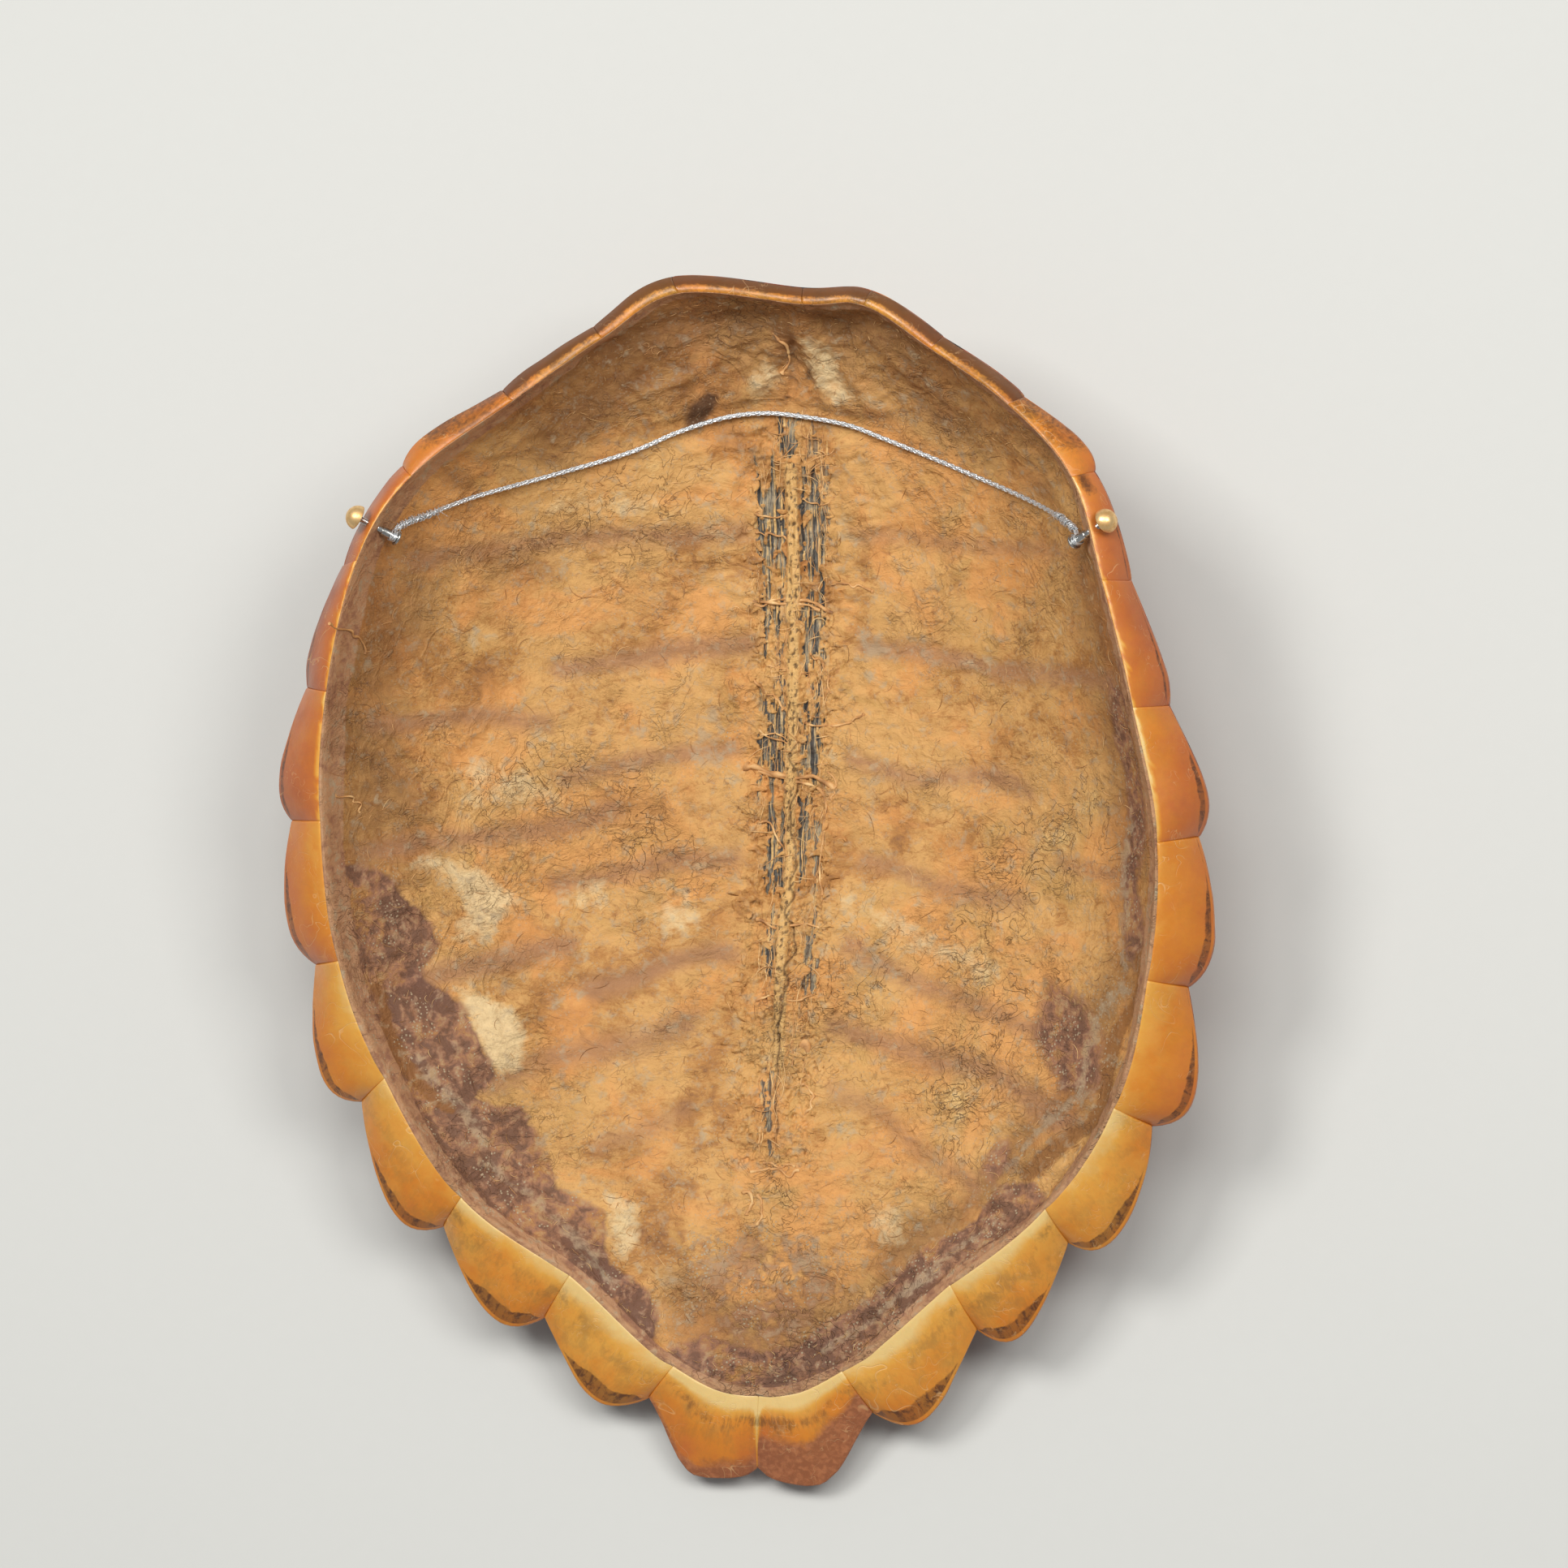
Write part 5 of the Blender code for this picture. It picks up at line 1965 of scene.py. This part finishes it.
@dataclass
class Skin:
    """The finished surface of the hollow as a grid, for what lies on it."""

    points: Array
    normals: Array

    def at(self, row: Array, col: Array) -> Solid:
        """Points and normals between the grid's, each a blend of the four corners' round it.

        Args:
            row: Places along the ring, wrapped round.
            col: Places across.

        Returns:
            Points and unit normals.
        """
        rows, cols = self.points.shape[:2]
        col = np.clip(col, 0, cols - 1.001)
        i, j = np.floor(row).astype(int), np.floor(col).astype(int)
        a, b = (row - i)[..., None], (col - j)[..., None]
        i, after = i % rows, (i + 1) % rows
        blend = [
            (1 - a) * ((1 - b) * grid[i, j] + b * grid[i, j + 1]) + a * (
                (1 - b) * grid[after, j] + b * grid[after, j + 1]
            )
            for grid in (self.points, self.normals)
        ]
        return blend[0], unit(blend[1])

    def over(self, plan: Array) -> Solid:
        """Points and normals over places in plan, on the tangent plane of the nearest point.

        Args:
            plan: Places in mm, any shape by two.

        Returns:
            Points and unit normals.
        """
        flat = plan.reshape(-1, 2)
        known = self.points.reshape(-1, 3)
        nearest = np.argmin(((flat[:, None] - known[None, :, :2]) ** 2).sum(-1), axis=1)
        point, normal = known[nearest], self.normals.reshape(-1, 3)[nearest]
        off = flat - point[:, :2]
        z = point[:, 2] - (normal[:, :2] * off).sum(-1) / normal[:, 2]
        shape = plan.shape[:-1] + (3,)
        return np.column_stack((flat, z)).reshape(shape), normal.reshape(shape)


# Sinews that cross the spine's column or stand up by it: width in mm, then the line in plan.
SINEWS = (
    (1.3, ((-30, 171), (-12, 168), (6, 170), (22, 163))),
    (0.9, ((-27, 166), (-8, 171), (14, 165))),
    (1.9, ((-33, 65), (-22, 60), (-4, 57), (12, 58), (26, 50))),
    (1.1, ((-24, 61), (-6, 55), (10, 53), (20, 46))),
    (0.7, ((-27, 88), (-18, 82), (-6, 79), (0, 76))),
    (0.6, ((-24, 83), (-14, 85), (-2, 77))),
    (0.7, ((8, 136), (16, 130), (22, 112))),
    (0.6, ((-22, 128), (-6, 126), (6, 122), (8, 110))),
    (0.8, ((4, 92), (20, 90), (36, 94), (44, 98))),
    (0.7, ((-26, 226), (-12, 223), (0, 225))),
    (0.7, ((-28, 214), (-14, 212), (-2, 208))),
    (0.6, ((4, 236), (16, 232), (26, 236))),
    (0.9, ((-26, 30), (-16, 25), (-8, 14), (-4, 2))),
    (0.8, ((18, 54), (20, 30), (17, 0), (20, -16))),
    (0.8, ((-30, 118), (-20, 112), (-12, 104), (-8, 100))),
    (0.9, ((-22, -34), (-4, -38), (12, -36), (24, -38))),
    (0.8, ((-20, -84), (-8, -80), (6, -84), (18, -80))),
    (1.0, ((-14, -190), (-2, -187), (8, -190), (16, -187))),
    (0.8, ((-8, -182), (4, -186), (12, -183))),
    (1.2, ((-18, -200), (-12, -208), (-16, -216))),
    (1.0, ((-10, -203), (-6, -212), (-8, -221))),
    (0.9, ((14, -134), (22, -142), (18, -154))),
    (0.9, ((24, 184), (38, 180), (50, 176))),
    (0.8, ((22, 62), (27, 50), (24, 44))),
    (1.0, ((-8, 340), (0, 330), (-6, 316))),
    (0.9, ((-262, 160), (-259, 155), (-255, 152), (-252, 140))),
    (0.6, ((-266, 51), (-260, 47), (-256, 40))),
)


@dataclass
class Sinews:
    """Sinews, knots and loose fibres that dried onto the hollow."""

    skin: Skin
    fibres: int = 1700
    rings: int = 7
    seed: int = 71

    def sinew(self, width: float, line: Sequence[tuple[float, float]], index: int) -> Solid:
        """One sinew: a tube along a smooth line over the skin, thick at its rooted ends, with
        an uneven thickness of 1 plus noise.

        Args:
            width: Radius in mm.
            line: Its line in plan.
            index: Its number, for its noise.

        Returns:
            Points and faces.
        """
        corners = np.array(line, float)
        padded = np.vstack((2 * corners[0] - corners[1], corners, 2 * corners[-1] - corners[-2]))
        count = 40
        t = np.linspace(0, 1, count)
        plan = through(padded, t * (len(corners) - 1))
        plan = (
            plan
            + 0.8 * np.stack(
                (ripples(t * 40, 0 * t, 14, 80 + index), ripples(t * 40, 0 * t, 14, 120 + index)), -1
            )
        )
        point, normal = self.skin.over(plan)
        rooted = smooth(t / 0.12) * smooth((1 - t) / 0.12)
        level = np.convolve(np.pad(point[:, 2], 5, mode="edge"), np.ones(11) / 11, "valid")
        point[:, 2] = np.maximum(point[:, 2], level)
        path = point + normal * (width * (0.75 * rooted - 0.5))[:, None]
        radius = width * (0.8 + 0.5 * (1 - rooted)) * (1 + 0.22 * ripples(t * 60, 0 * t, 9, 160 + index))
        return sweep(path[None], radius[None], 8, normal[None])

    def loose(self) -> tuple[Array, Array, Array]:
        """Short curled fibres: each heads out from the spine at a random slant that turns
        steadily along it, and lies on the skin with its middle just off it.

        Returns:
            Points, faces and one random number for each point.
        """
        rng = np.random.default_rng(self.seed)
        rows, cols = self.skin.points.shape[:2]
        n, m = self.fibres, self.rings
        row = rng.uniform(0, rows, n)
        share = np.sqrt(rng.uniform(0.01, 0.93, n))
        col = share * (cols - 1)
        length = rng.gamma(3.0, 1.6, n) + 2.0
        slant = rng.normal(0, 0.75, n) + (rng.uniform(0, 1, n) < 0.3) * rng.uniform(-1.5, 1.5, n)
        turn = rng.normal(0, 1.5, n)
        t = np.linspace(0, 1, m)
        heading = slant[:, None] + turn[:, None] * t[None]
        step = (length / (m - 1))[:, None]
        out = np.cumsum(np.cos(heading) * step, axis=1) / 2.5
        side = np.cumsum(np.sin(heading) * step, axis=1) / (0.6 + 2.6 * share)[:, None]
        point, normal = self.skin.at(row[:, None] + side, col[:, None] + out)
        arch = (0.1 + 0.35 * np.sin(math.pi * t))[None, :, None]
        radius = (
            rng.uniform(0.08, 0.2, n)[:, None]
            * (0.35 + 0.65 * np.sin(math.pi * np.clip(t, 0.06, 0.94)))[None]
        )
        points, faces = sweep(point + normal * arch, radius, 4, normal)
        return points, faces, np.repeat(rng.uniform(0, 1, n) ** 1.2, m * 4)

    def nub(self) -> Solid:
        """The oval knob beside the spine: a ball stretched along Y with a dimpled top."""
        v, w = np.meshgrid(np.linspace(0, math.pi, 16), np.linspace(0, 2 * math.pi, 25), indexing="ij")
        base, _ = self.skin.over(np.array(((14.0, -113.0),)))
        x = 4.2 * np.sin(v) * np.cos(w)
        y = 6.0 * np.sin(v) * np.sin(w)
        z = 3.2 * np.cos(v) - 0.9 * np.exp(-((np.hypot(x, y) / 2.2) ** 2)) * (np.cos(v) > 0)
        return (base[0] + np.stack((x, y, z), -1)).reshape(-1, 3), grid_faces(16, 25)

    def build(self, finish: Material) -> list[Object]:
        """Builds the sinews and the loose fibres.

        Args:
            finish: Their material.

        Returns:
            The two pieces.
        """
        parts = [self.sinew(width, line, index) for index, (width, line) in enumerate(SINEWS)]
        parts.append(self.nub())
        points, faces = joined(parts)
        tone = np.clip(0.5 + 0.2 * ripples(points[:, 0], points[:, 1], 12, 72), 0, 1)
        sinews = make_piece("sinews", points, faces, finish, {"shade": tone}, 80.0, 0.001)
        points, faces, shade = self.loose()
        loose = make_piece("loose_fibres", points, faces, finish, {"shade": shade}, 80.0)
        return [sinews, loose]


# ---------------------------------------------------------------------------------------------
# Hardware
# ---------------------------------------------------------------------------------------------


@dataclass
class Screw:
    """One screw through the rim with its half-ball cap: everything is turned about the screw's
    axis, which starts at the inner face of its flat head."""

    side: Side
    head_at: Color
    head_radius: float = 5.0
    head_thickness: float = 1.6
    barrel_radius: float = 2.8
    barrel_length: float = 12.0
    shank_radius: float = 2.1
    length: float = 29.0
    cap_radius: float = 7.8
    cap_gap: float = 0.3
    thread_pitch: float = 0.8
    thread_depth: float = 0.22
    steps: int = 72

    def axes(self) -> Array:
        """Rows: two directions square to the axis, then the axis, outwards."""
        out = unit(np.array((0.74 * self.side.value, 0.45, 0.50)))
        across = unit(np.cross(out, (0.0, 0.0, 1.0)))
        return np.stack((across, np.cross(out, across), out))

    def placed(self, local: Array) -> Array:
        """Points of the screw's own frame in the shell's."""
        return np.array(self.head_at) + local @ self.axes()

    def turned(
        self, profile: Sequence[tuple[float, float]], thread: tuple[float, float] | None = None
    ) -> Solid:
        """A profile of (radius, height) carried once round the axis. Between the two heights of
        a thread, a triangle wave of height over pitch less the turn is cut from the radius.

        Args:
            profile: Points from axis to axis.
            thread: Heights between which it is threaded.

        Returns:
            Points and faces.
        """
        rows = np.array(profile, float)
        angle = np.linspace(0, 2 * math.pi, self.steps + 1)
        radius = np.broadcast_to(rows[:, :1], (len(rows), len(angle))).copy()
        height = np.broadcast_to(rows[:, 1:], radius.shape)
        if thread:
            phase = (height / self.thread_pitch - angle / (2 * math.pi)) % 1
            cut = self.thread_depth * (2 * np.abs(phase - 0.5) - 1)
            ends = smooth((height - thread[0]) / 0.8) * smooth((thread[1] - height) / 0.8)
            radius += cut * ends
        local = np.stack((radius * np.cos(angle), radius * np.sin(angle), height), -1)
        return self.placed(local.reshape(-1, 3)), grid_faces(len(rows), len(angle))[:, ::-1]

    def build_screw(self, finish: Material) -> Object:
        """The head with its rolled rim and shallow ring, the barrel, and the threaded shank."""
        r, h = self.head_radius, self.head_thickness
        shank = [(self.shank_radius, z) for z in np.arange(self.barrel_length + 0.1, self.length + 0.4, 0.1)]
        profile = [
            (0, 0.12), (1.2, 0.1), (2.6, 0.1), (3.0, 0.02), (3.5, 0), (r - 0.6, 0), (r - 0.25, 0.08),
            (r - 0.06, 0.28), (r, 0.5), (r, h - 0.3), (r - 0.1, h - 0.08), (r - 0.3, h),
            (self.barrel_radius + 0.1, h), (self.barrel_radius, h + 0.15),
            (self.barrel_radius, self.barrel_length - 0.3), (self.barrel_radius - 0.25, self.barrel_length),
            (self.shank_radius, self.barrel_length + 0.02), *shank, (0, self.length + 0.4),
        ]
        points, faces = self.turned(profile, (self.barrel_length + 3.0, self.length))
        name = self.side.name.lower()
        return make_piece(
            f"rim_screw_{name}", points, faces, finish, None, 35.0, 0.001, (f"screw_{name}",)
        )

    def build_cap(self, brass: Material, maroon: Material) -> list[Object]:
        """The half ball with a rolled edge, and the painted disc that closes its back.

        Args:
            brass: Finish of the ball.
            maroon: Finish of the disc.

        Returns:
            The two pieces.
        """
        base, r = self.length + self.cap_gap, self.cap_radius
        arc = [(r * math.cos(a), base + r * math.sin(a)) for a in np.radians(np.arange(3, 90, 3))]
        ball = [
            (0, base + 0.5), (r - 0.9, base + 0.5), (r - 0.75, base + 0.1), (r - 0.4, base - 0.05),
            (r - 0.08, base + 0.1), *arc, (0, base + r)
        ]
        disc = [
            (0, base + 0.22), (self.shank_radius + 0.4, base + 0.2), (r - 1.3, base + 0.24),
            (r - 0.85, base + 0.34), (r - 0.8, base + 0.6), (0, base + 0.6)
        ]
        name = self.side.name.lower()
        points, faces = self.turned(ball)
        cap = make_piece(
            f"cap_ball_{name}", points, faces, brass, None, 40.0, 0.001, (f"dome_cap_{name}",)
        )
        points, faces = self.turned(disc)
        back = make_piece(f"cap_back_{name}", points, faces, maroon, None, 40.0, 0.001)
        return [cap, back]


@dataclass
class HangingWire:
    """Braided picture wire from screw to screw: eight strands plaited over and under, a loop
    round each barrel and the tails wound back round the wire."""

    screws: dict[Side, Screw]
    spacing: float = 6.9
    fine: float = 0.55
    strand_radius: float = 0.46
    braid_radius: float = 0.92
    weave: float = 0.34
    pitch: float = 25.0
    wrap_end: float = 36.0

    def centreline(self, spacing: float) -> Array:
        """Points at even spacing along a smooth curve through the route.

        Args:
            spacing: Wanted spacing in mm.

        Returns:
            The points in mm.
        """
        route = np.array(WIRE_ROUTE, float)
        padded = np.vstack((2 * route[0] - route[1], route, 2 * route[-1] - route[-2]))
        dense = through(padded, np.linspace(0, len(route) - 1, 40 * len(route)))
        along = np.concatenate(([0.0], np.cumsum(np.linalg.norm(np.diff(dense, axis=0), axis=1))))
        wanted = np.linspace(0, along[-1], round(along[-1] / spacing) + 1)
        return np.column_stack([np.interp(wanted, along, dense[:, k]) for k in range(3)])

    def round_wire(self, line: Array, radius: Array, angle: Array) -> Array:
        """Lines that go round a centreline: its points plus radius times the turned frame.

        Args:
            line: Centreline points.
            radius: Distance from it, strands by points.
            angle: Turn at each point, the same way.

        Returns:
            Points, strands by points by three.
        """
        tangent = unit(np.gradient(line, axis=0))
        across = unit(np.cross(tangent, (0.0, 1.0, 0.0)))
        up = np.cross(across, tangent)
        return line + radius[..., None] * (np.cos(angle)[..., None] * across + np.sin(angle)[..., None] * up)

    def braid(self) -> Solid:
        """Eight strands, half of them each way round. One at turn a stands off by the weave
        times cos 4a, and one the other way by its opposite, so they pass over and under."""
        line = self.centreline(self.fine)
        length = np.linalg.norm(np.diff(line, axis=0), axis=1).sum()
        turn = np.linspace(0, length, len(line)) / self.pitch * 2 * math.pi
        start = np.arange(4)[:, None] * math.pi / 2
        way = np.cos(4 * turn)[None] * self.weave
        radius = self.braid_radius + np.concatenate((way.repeat(4, 0), -way.repeat(4, 0)))
        angle = np.concatenate((turn + start, -turn + start))
        paths = self.round_wire(line, radius, angle)
        return sweep(paths, np.full(paths.shape[:2], self.strand_radius), 6, (0.0, 1.0, 0.0))

    def ends(self, side: Side) -> Solid:
        """The loop strands round one barrel, the wound tail and its frayed tip.

        Args:
            side: Which end.

        Returns:
            Points and faces.
        """
        rng = np.random.default_rng(91 + side.value)
        screw = self.screws[side]
        line = self.centreline(0.3)
        line = line[::-1] if side is Side.RIGHT else line
        along = np.linspace(0, 0.3 * (len(line) - 1), len(line))
        parts = []
        t = np.linspace(0, 1, 90)
        for n in range(9):
            angle = rng.uniform(0, 6.28) + t * rng.uniform(5.5, 7.5) * (1 if n % 2 else -1)
            height = 2.6 + 0.32 * n + 0.9 * np.sin(angle + rng.uniform(0, 6.28))
            radius = screw.barrel_radius + 0.42 + 0.3 * rng.uniform() + 0.12 * np.sin(3 * angle)
            local = np.stack((radius * np.cos(angle), radius * np.sin(angle), np.maximum(height, 2.1)), -1)
            parts.append(sweep(screw.placed(local)[None], np.full((1, 90), 0.36), 6, screw.axes()[2]))
        kept = (along > 3.0) & (along < self.wrap_end)
        wound = line[kept]
        place = along[kept]
        for n in range(2):
            turn = (place / 4.8 + 0.14 * np.sin(place * 0.8 + n)) * 2 * math.pi + n * math.pi
            off = 1.95 + 0.4 * np.sin(place * 0.9 + 2 * n) + 0.2 * rng.uniform()
            paths = self.round_wire(wound, off[None], turn[None])
            parts.append(sweep(paths, np.full(paths.shape[:2], 0.56), 6, (0.0, 1.0, 0.0)))
        tip = wound[-1]
        for _ in range(14):
            start = tip + rng.normal(0, 0.8, 3)
            aim = unit(rng.normal(0, 1, 3) + np.array((-0.9 * side.value, 0.5, 0.9)))
            bend = unit(rng.normal(0, 1, 3))
            reach = rng.uniform(3.0, 6.5)
            s = np.linspace(0, 1, 10)[:, None]
            path = start + aim * reach * s + bend * 1.6 * s * s
            parts.append(sweep(path[None], (0.16 * (1 - 0.5 * s[:, 0]))[None], 4, (0.1, 1.0, 0.2)))
        return joined(parts)

    def build(self, finish: Material) -> list[Object]:
        """Args:
            finish: The wire's material.

        Returns:
            The three pieces.
        """
        points, faces = self.braid()
        wire = make_piece("picture_wire", points, faces, finish, None, 60.0, 0.0, ("hanging_wire",))
        wraps = []
        for side in Side:
            points, faces = self.ends(side)
            wraps.append(
                make_piece(f"wire_end_{side.name.lower()}", points, faces, finish, None, 60.0)
            )
        return [wire, *wraps]


# ---------------------------------------------------------------------------------------------
# Studio
# ---------------------------------------------------------------------------------------------


@dataclass
class Studio:
    """Pale floor, soft lights from both sides and above, and the camera over the hollow."""

    turn_deg: float = 12.0
    nod_deg: float = 4.0
    distance: float = 3500.0
    target: Color = (20.0, 62.0, -20.0)
    lens: float = 130.0
    sensor: float = 36.0
    floor_size: float = 9.0
    floor_color: Color = srgb(206, 205, 199)
    world_color: Color = (0.93, 0.96, 1.0)
    world_strength: float = 0.27
    lights: tuple[tuple[str, Color, float, float], ...] = (
        ("soft_left", (-1.3, 0.9, 3.1), 1.1, 56.0),
        ("soft_right", (1.7, 0.6, 2.9), 1.2, 42.0),
        ("soft_top", (0.2, 0.9, 3.4), 1.4, 38.0),
    )

    def add_camera(self) -> None:
        """Places the camera along its direction from the target, carried into the row's frame."""
        turn, nod = math.radians(self.turn_deg), math.radians(self.nod_deg)
        back = np.array((math.sin(turn) * math.cos(nod), math.sin(nod), math.cos(turn) * math.cos(nod)))
        right = unit(np.cross((0.0, 1.0, 0.0), back))
        up = np.cross(back, right)
        place = REST.place(np.array(self.target) + self.distance * back)
        axes = REST.turn() @ np.stack((right, up, back), axis=1)
        camera = bpy.data.objects.new("camera", bpy.data.cameras.new("camera"))
        camera.data.lens = self.lens
        camera.data.sensor_width = self.sensor
        camera.data.clip_end = 50.0
        bpy.context.scene.collection.objects.link(camera)
        camera.matrix_world = Matrix.Translation(Vector(place)) @ Matrix(axes.tolist()).to_4x4()
        bpy.context.scene.camera = camera

    def add_floor(self) -> None:
        """A pale floor at z = 0 with a faint, fine tooth."""
        half = self.floor_size / 2
        mesh = bpy.data.meshes.new("floor")
        mesh.from_pydata(
            [(-half, -half, 0), (half, -half, 0), (half, half, 0), (-half, half, 0)], [], [(0, 1, 2, 3)]
        )
        material, t, shader = new_material("pale_floor")
        tooth = t.noise(t.coords(), 90, 3, 0.6)
        light = tuple(min(1.0, part * 1.02) for part in self.floor_color)
        t.feed(shader.inputs["Base Color"], t.mix(tooth, self.floor_color, light))
        shader.inputs["Roughness"].default_value = 0.9
        mesh.materials.append(material)
        floor = bpy.data.objects.new("floor", mesh)
        bpy.context.scene.collection.objects.link(floor)

    def add_lights(self) -> None:
        """Square soft lights aimed at the shell, and an even pale surrounding."""
        for name, place, size, power in self.lights:
            light = bpy.data.lights.new(name, "AREA")
            light.size = size
            light.energy = power
            lamp = bpy.data.objects.new(name, light)
            bpy.context.scene.collection.objects.link(lamp)
            lamp.location = place
            lamp.rotation_euler = (Vector((0, 0, 0.08)) - Vector(place)).to_track_quat("-Z", "Y").to_euler()
        world = bpy.data.worlds.new("pale_room")
        world.use_nodes = True
        ground = world.node_tree.nodes["Background"]
        ground.inputs["Color"].default_value = (*self.world_color, 1.0)
        ground.inputs["Strength"].default_value = self.world_strength
        bpy.context.scene.world = world
        bpy.context.scene.view_settings.view_transform = "Standard"

    def build(self) -> None:
        """Sets up the camera, the floor and the lights."""
        self.add_camera()
        self.add_floor()
        self.add_lights()


def main() -> None:
    """Builds the studio, the wire and its screws, then the shell from the inside out."""
    logging.basicConfig(level=logging.INFO, format="%(name)s: %(message)s")
    Studio().build()
    effects = Effects()
    steel = MetalFinish("bright_steel", srgb(222, 221, 216), srgb(168, 167, 162), 0.24).build(effects)
    silver = MetalFinish(
        "wire_silver", srgb(238, 240, 240), srgb(184, 187, 188), 0.28, metallic=0.66, wave=900.0
    ).build(effects)
    brass = MetalFinish(
        "satin_brass", srgb(242, 202, 142), srgb(218, 172, 110), 0.42, metallic=0.75
    ).build(effects)
    maroon = MetalFinish("maroon_paint", srgb(84, 42, 38), srgb(62, 32, 30), 0.5, metallic=0.0).build(effects)
    screws = {
        Side.LEFT: Screw(Side.LEFT, (-229.0, 212.0, -28.0)),
        Side.RIGHT: Screw(Side.RIGHT, (199.0, 212.0, -28.0)),
    }
    HangingWire(screws).build(silver)
    for screw in screws.values():
        screw.build_screw(steel)
        screw.build_cap(brass, maroon)
    hollow, membrane, strands = Hollow(), MembraneFinish().build(effects), StrandFinish().build()
    hollow.build(membrane)
    SpineColumn(hollow).build(membrane, strands)
    horn = KeratinFinish().build(effects)
    RimScutes(side=Side.RIGHT).build(horn)
    RimScutes(
        side=Side.LEFT,
        honey=(0.62, 0.62, 0.6, 0.5, 0.18, 0.14, 0.25, 0.42, 0.62, 0.58, 0.66, 0.68, 0.5),
    ).build(horn)
    BackScutes().build(horn)
    Sinews(hollow.skin()).build(strands)


if __name__ == "__main__":
    main()
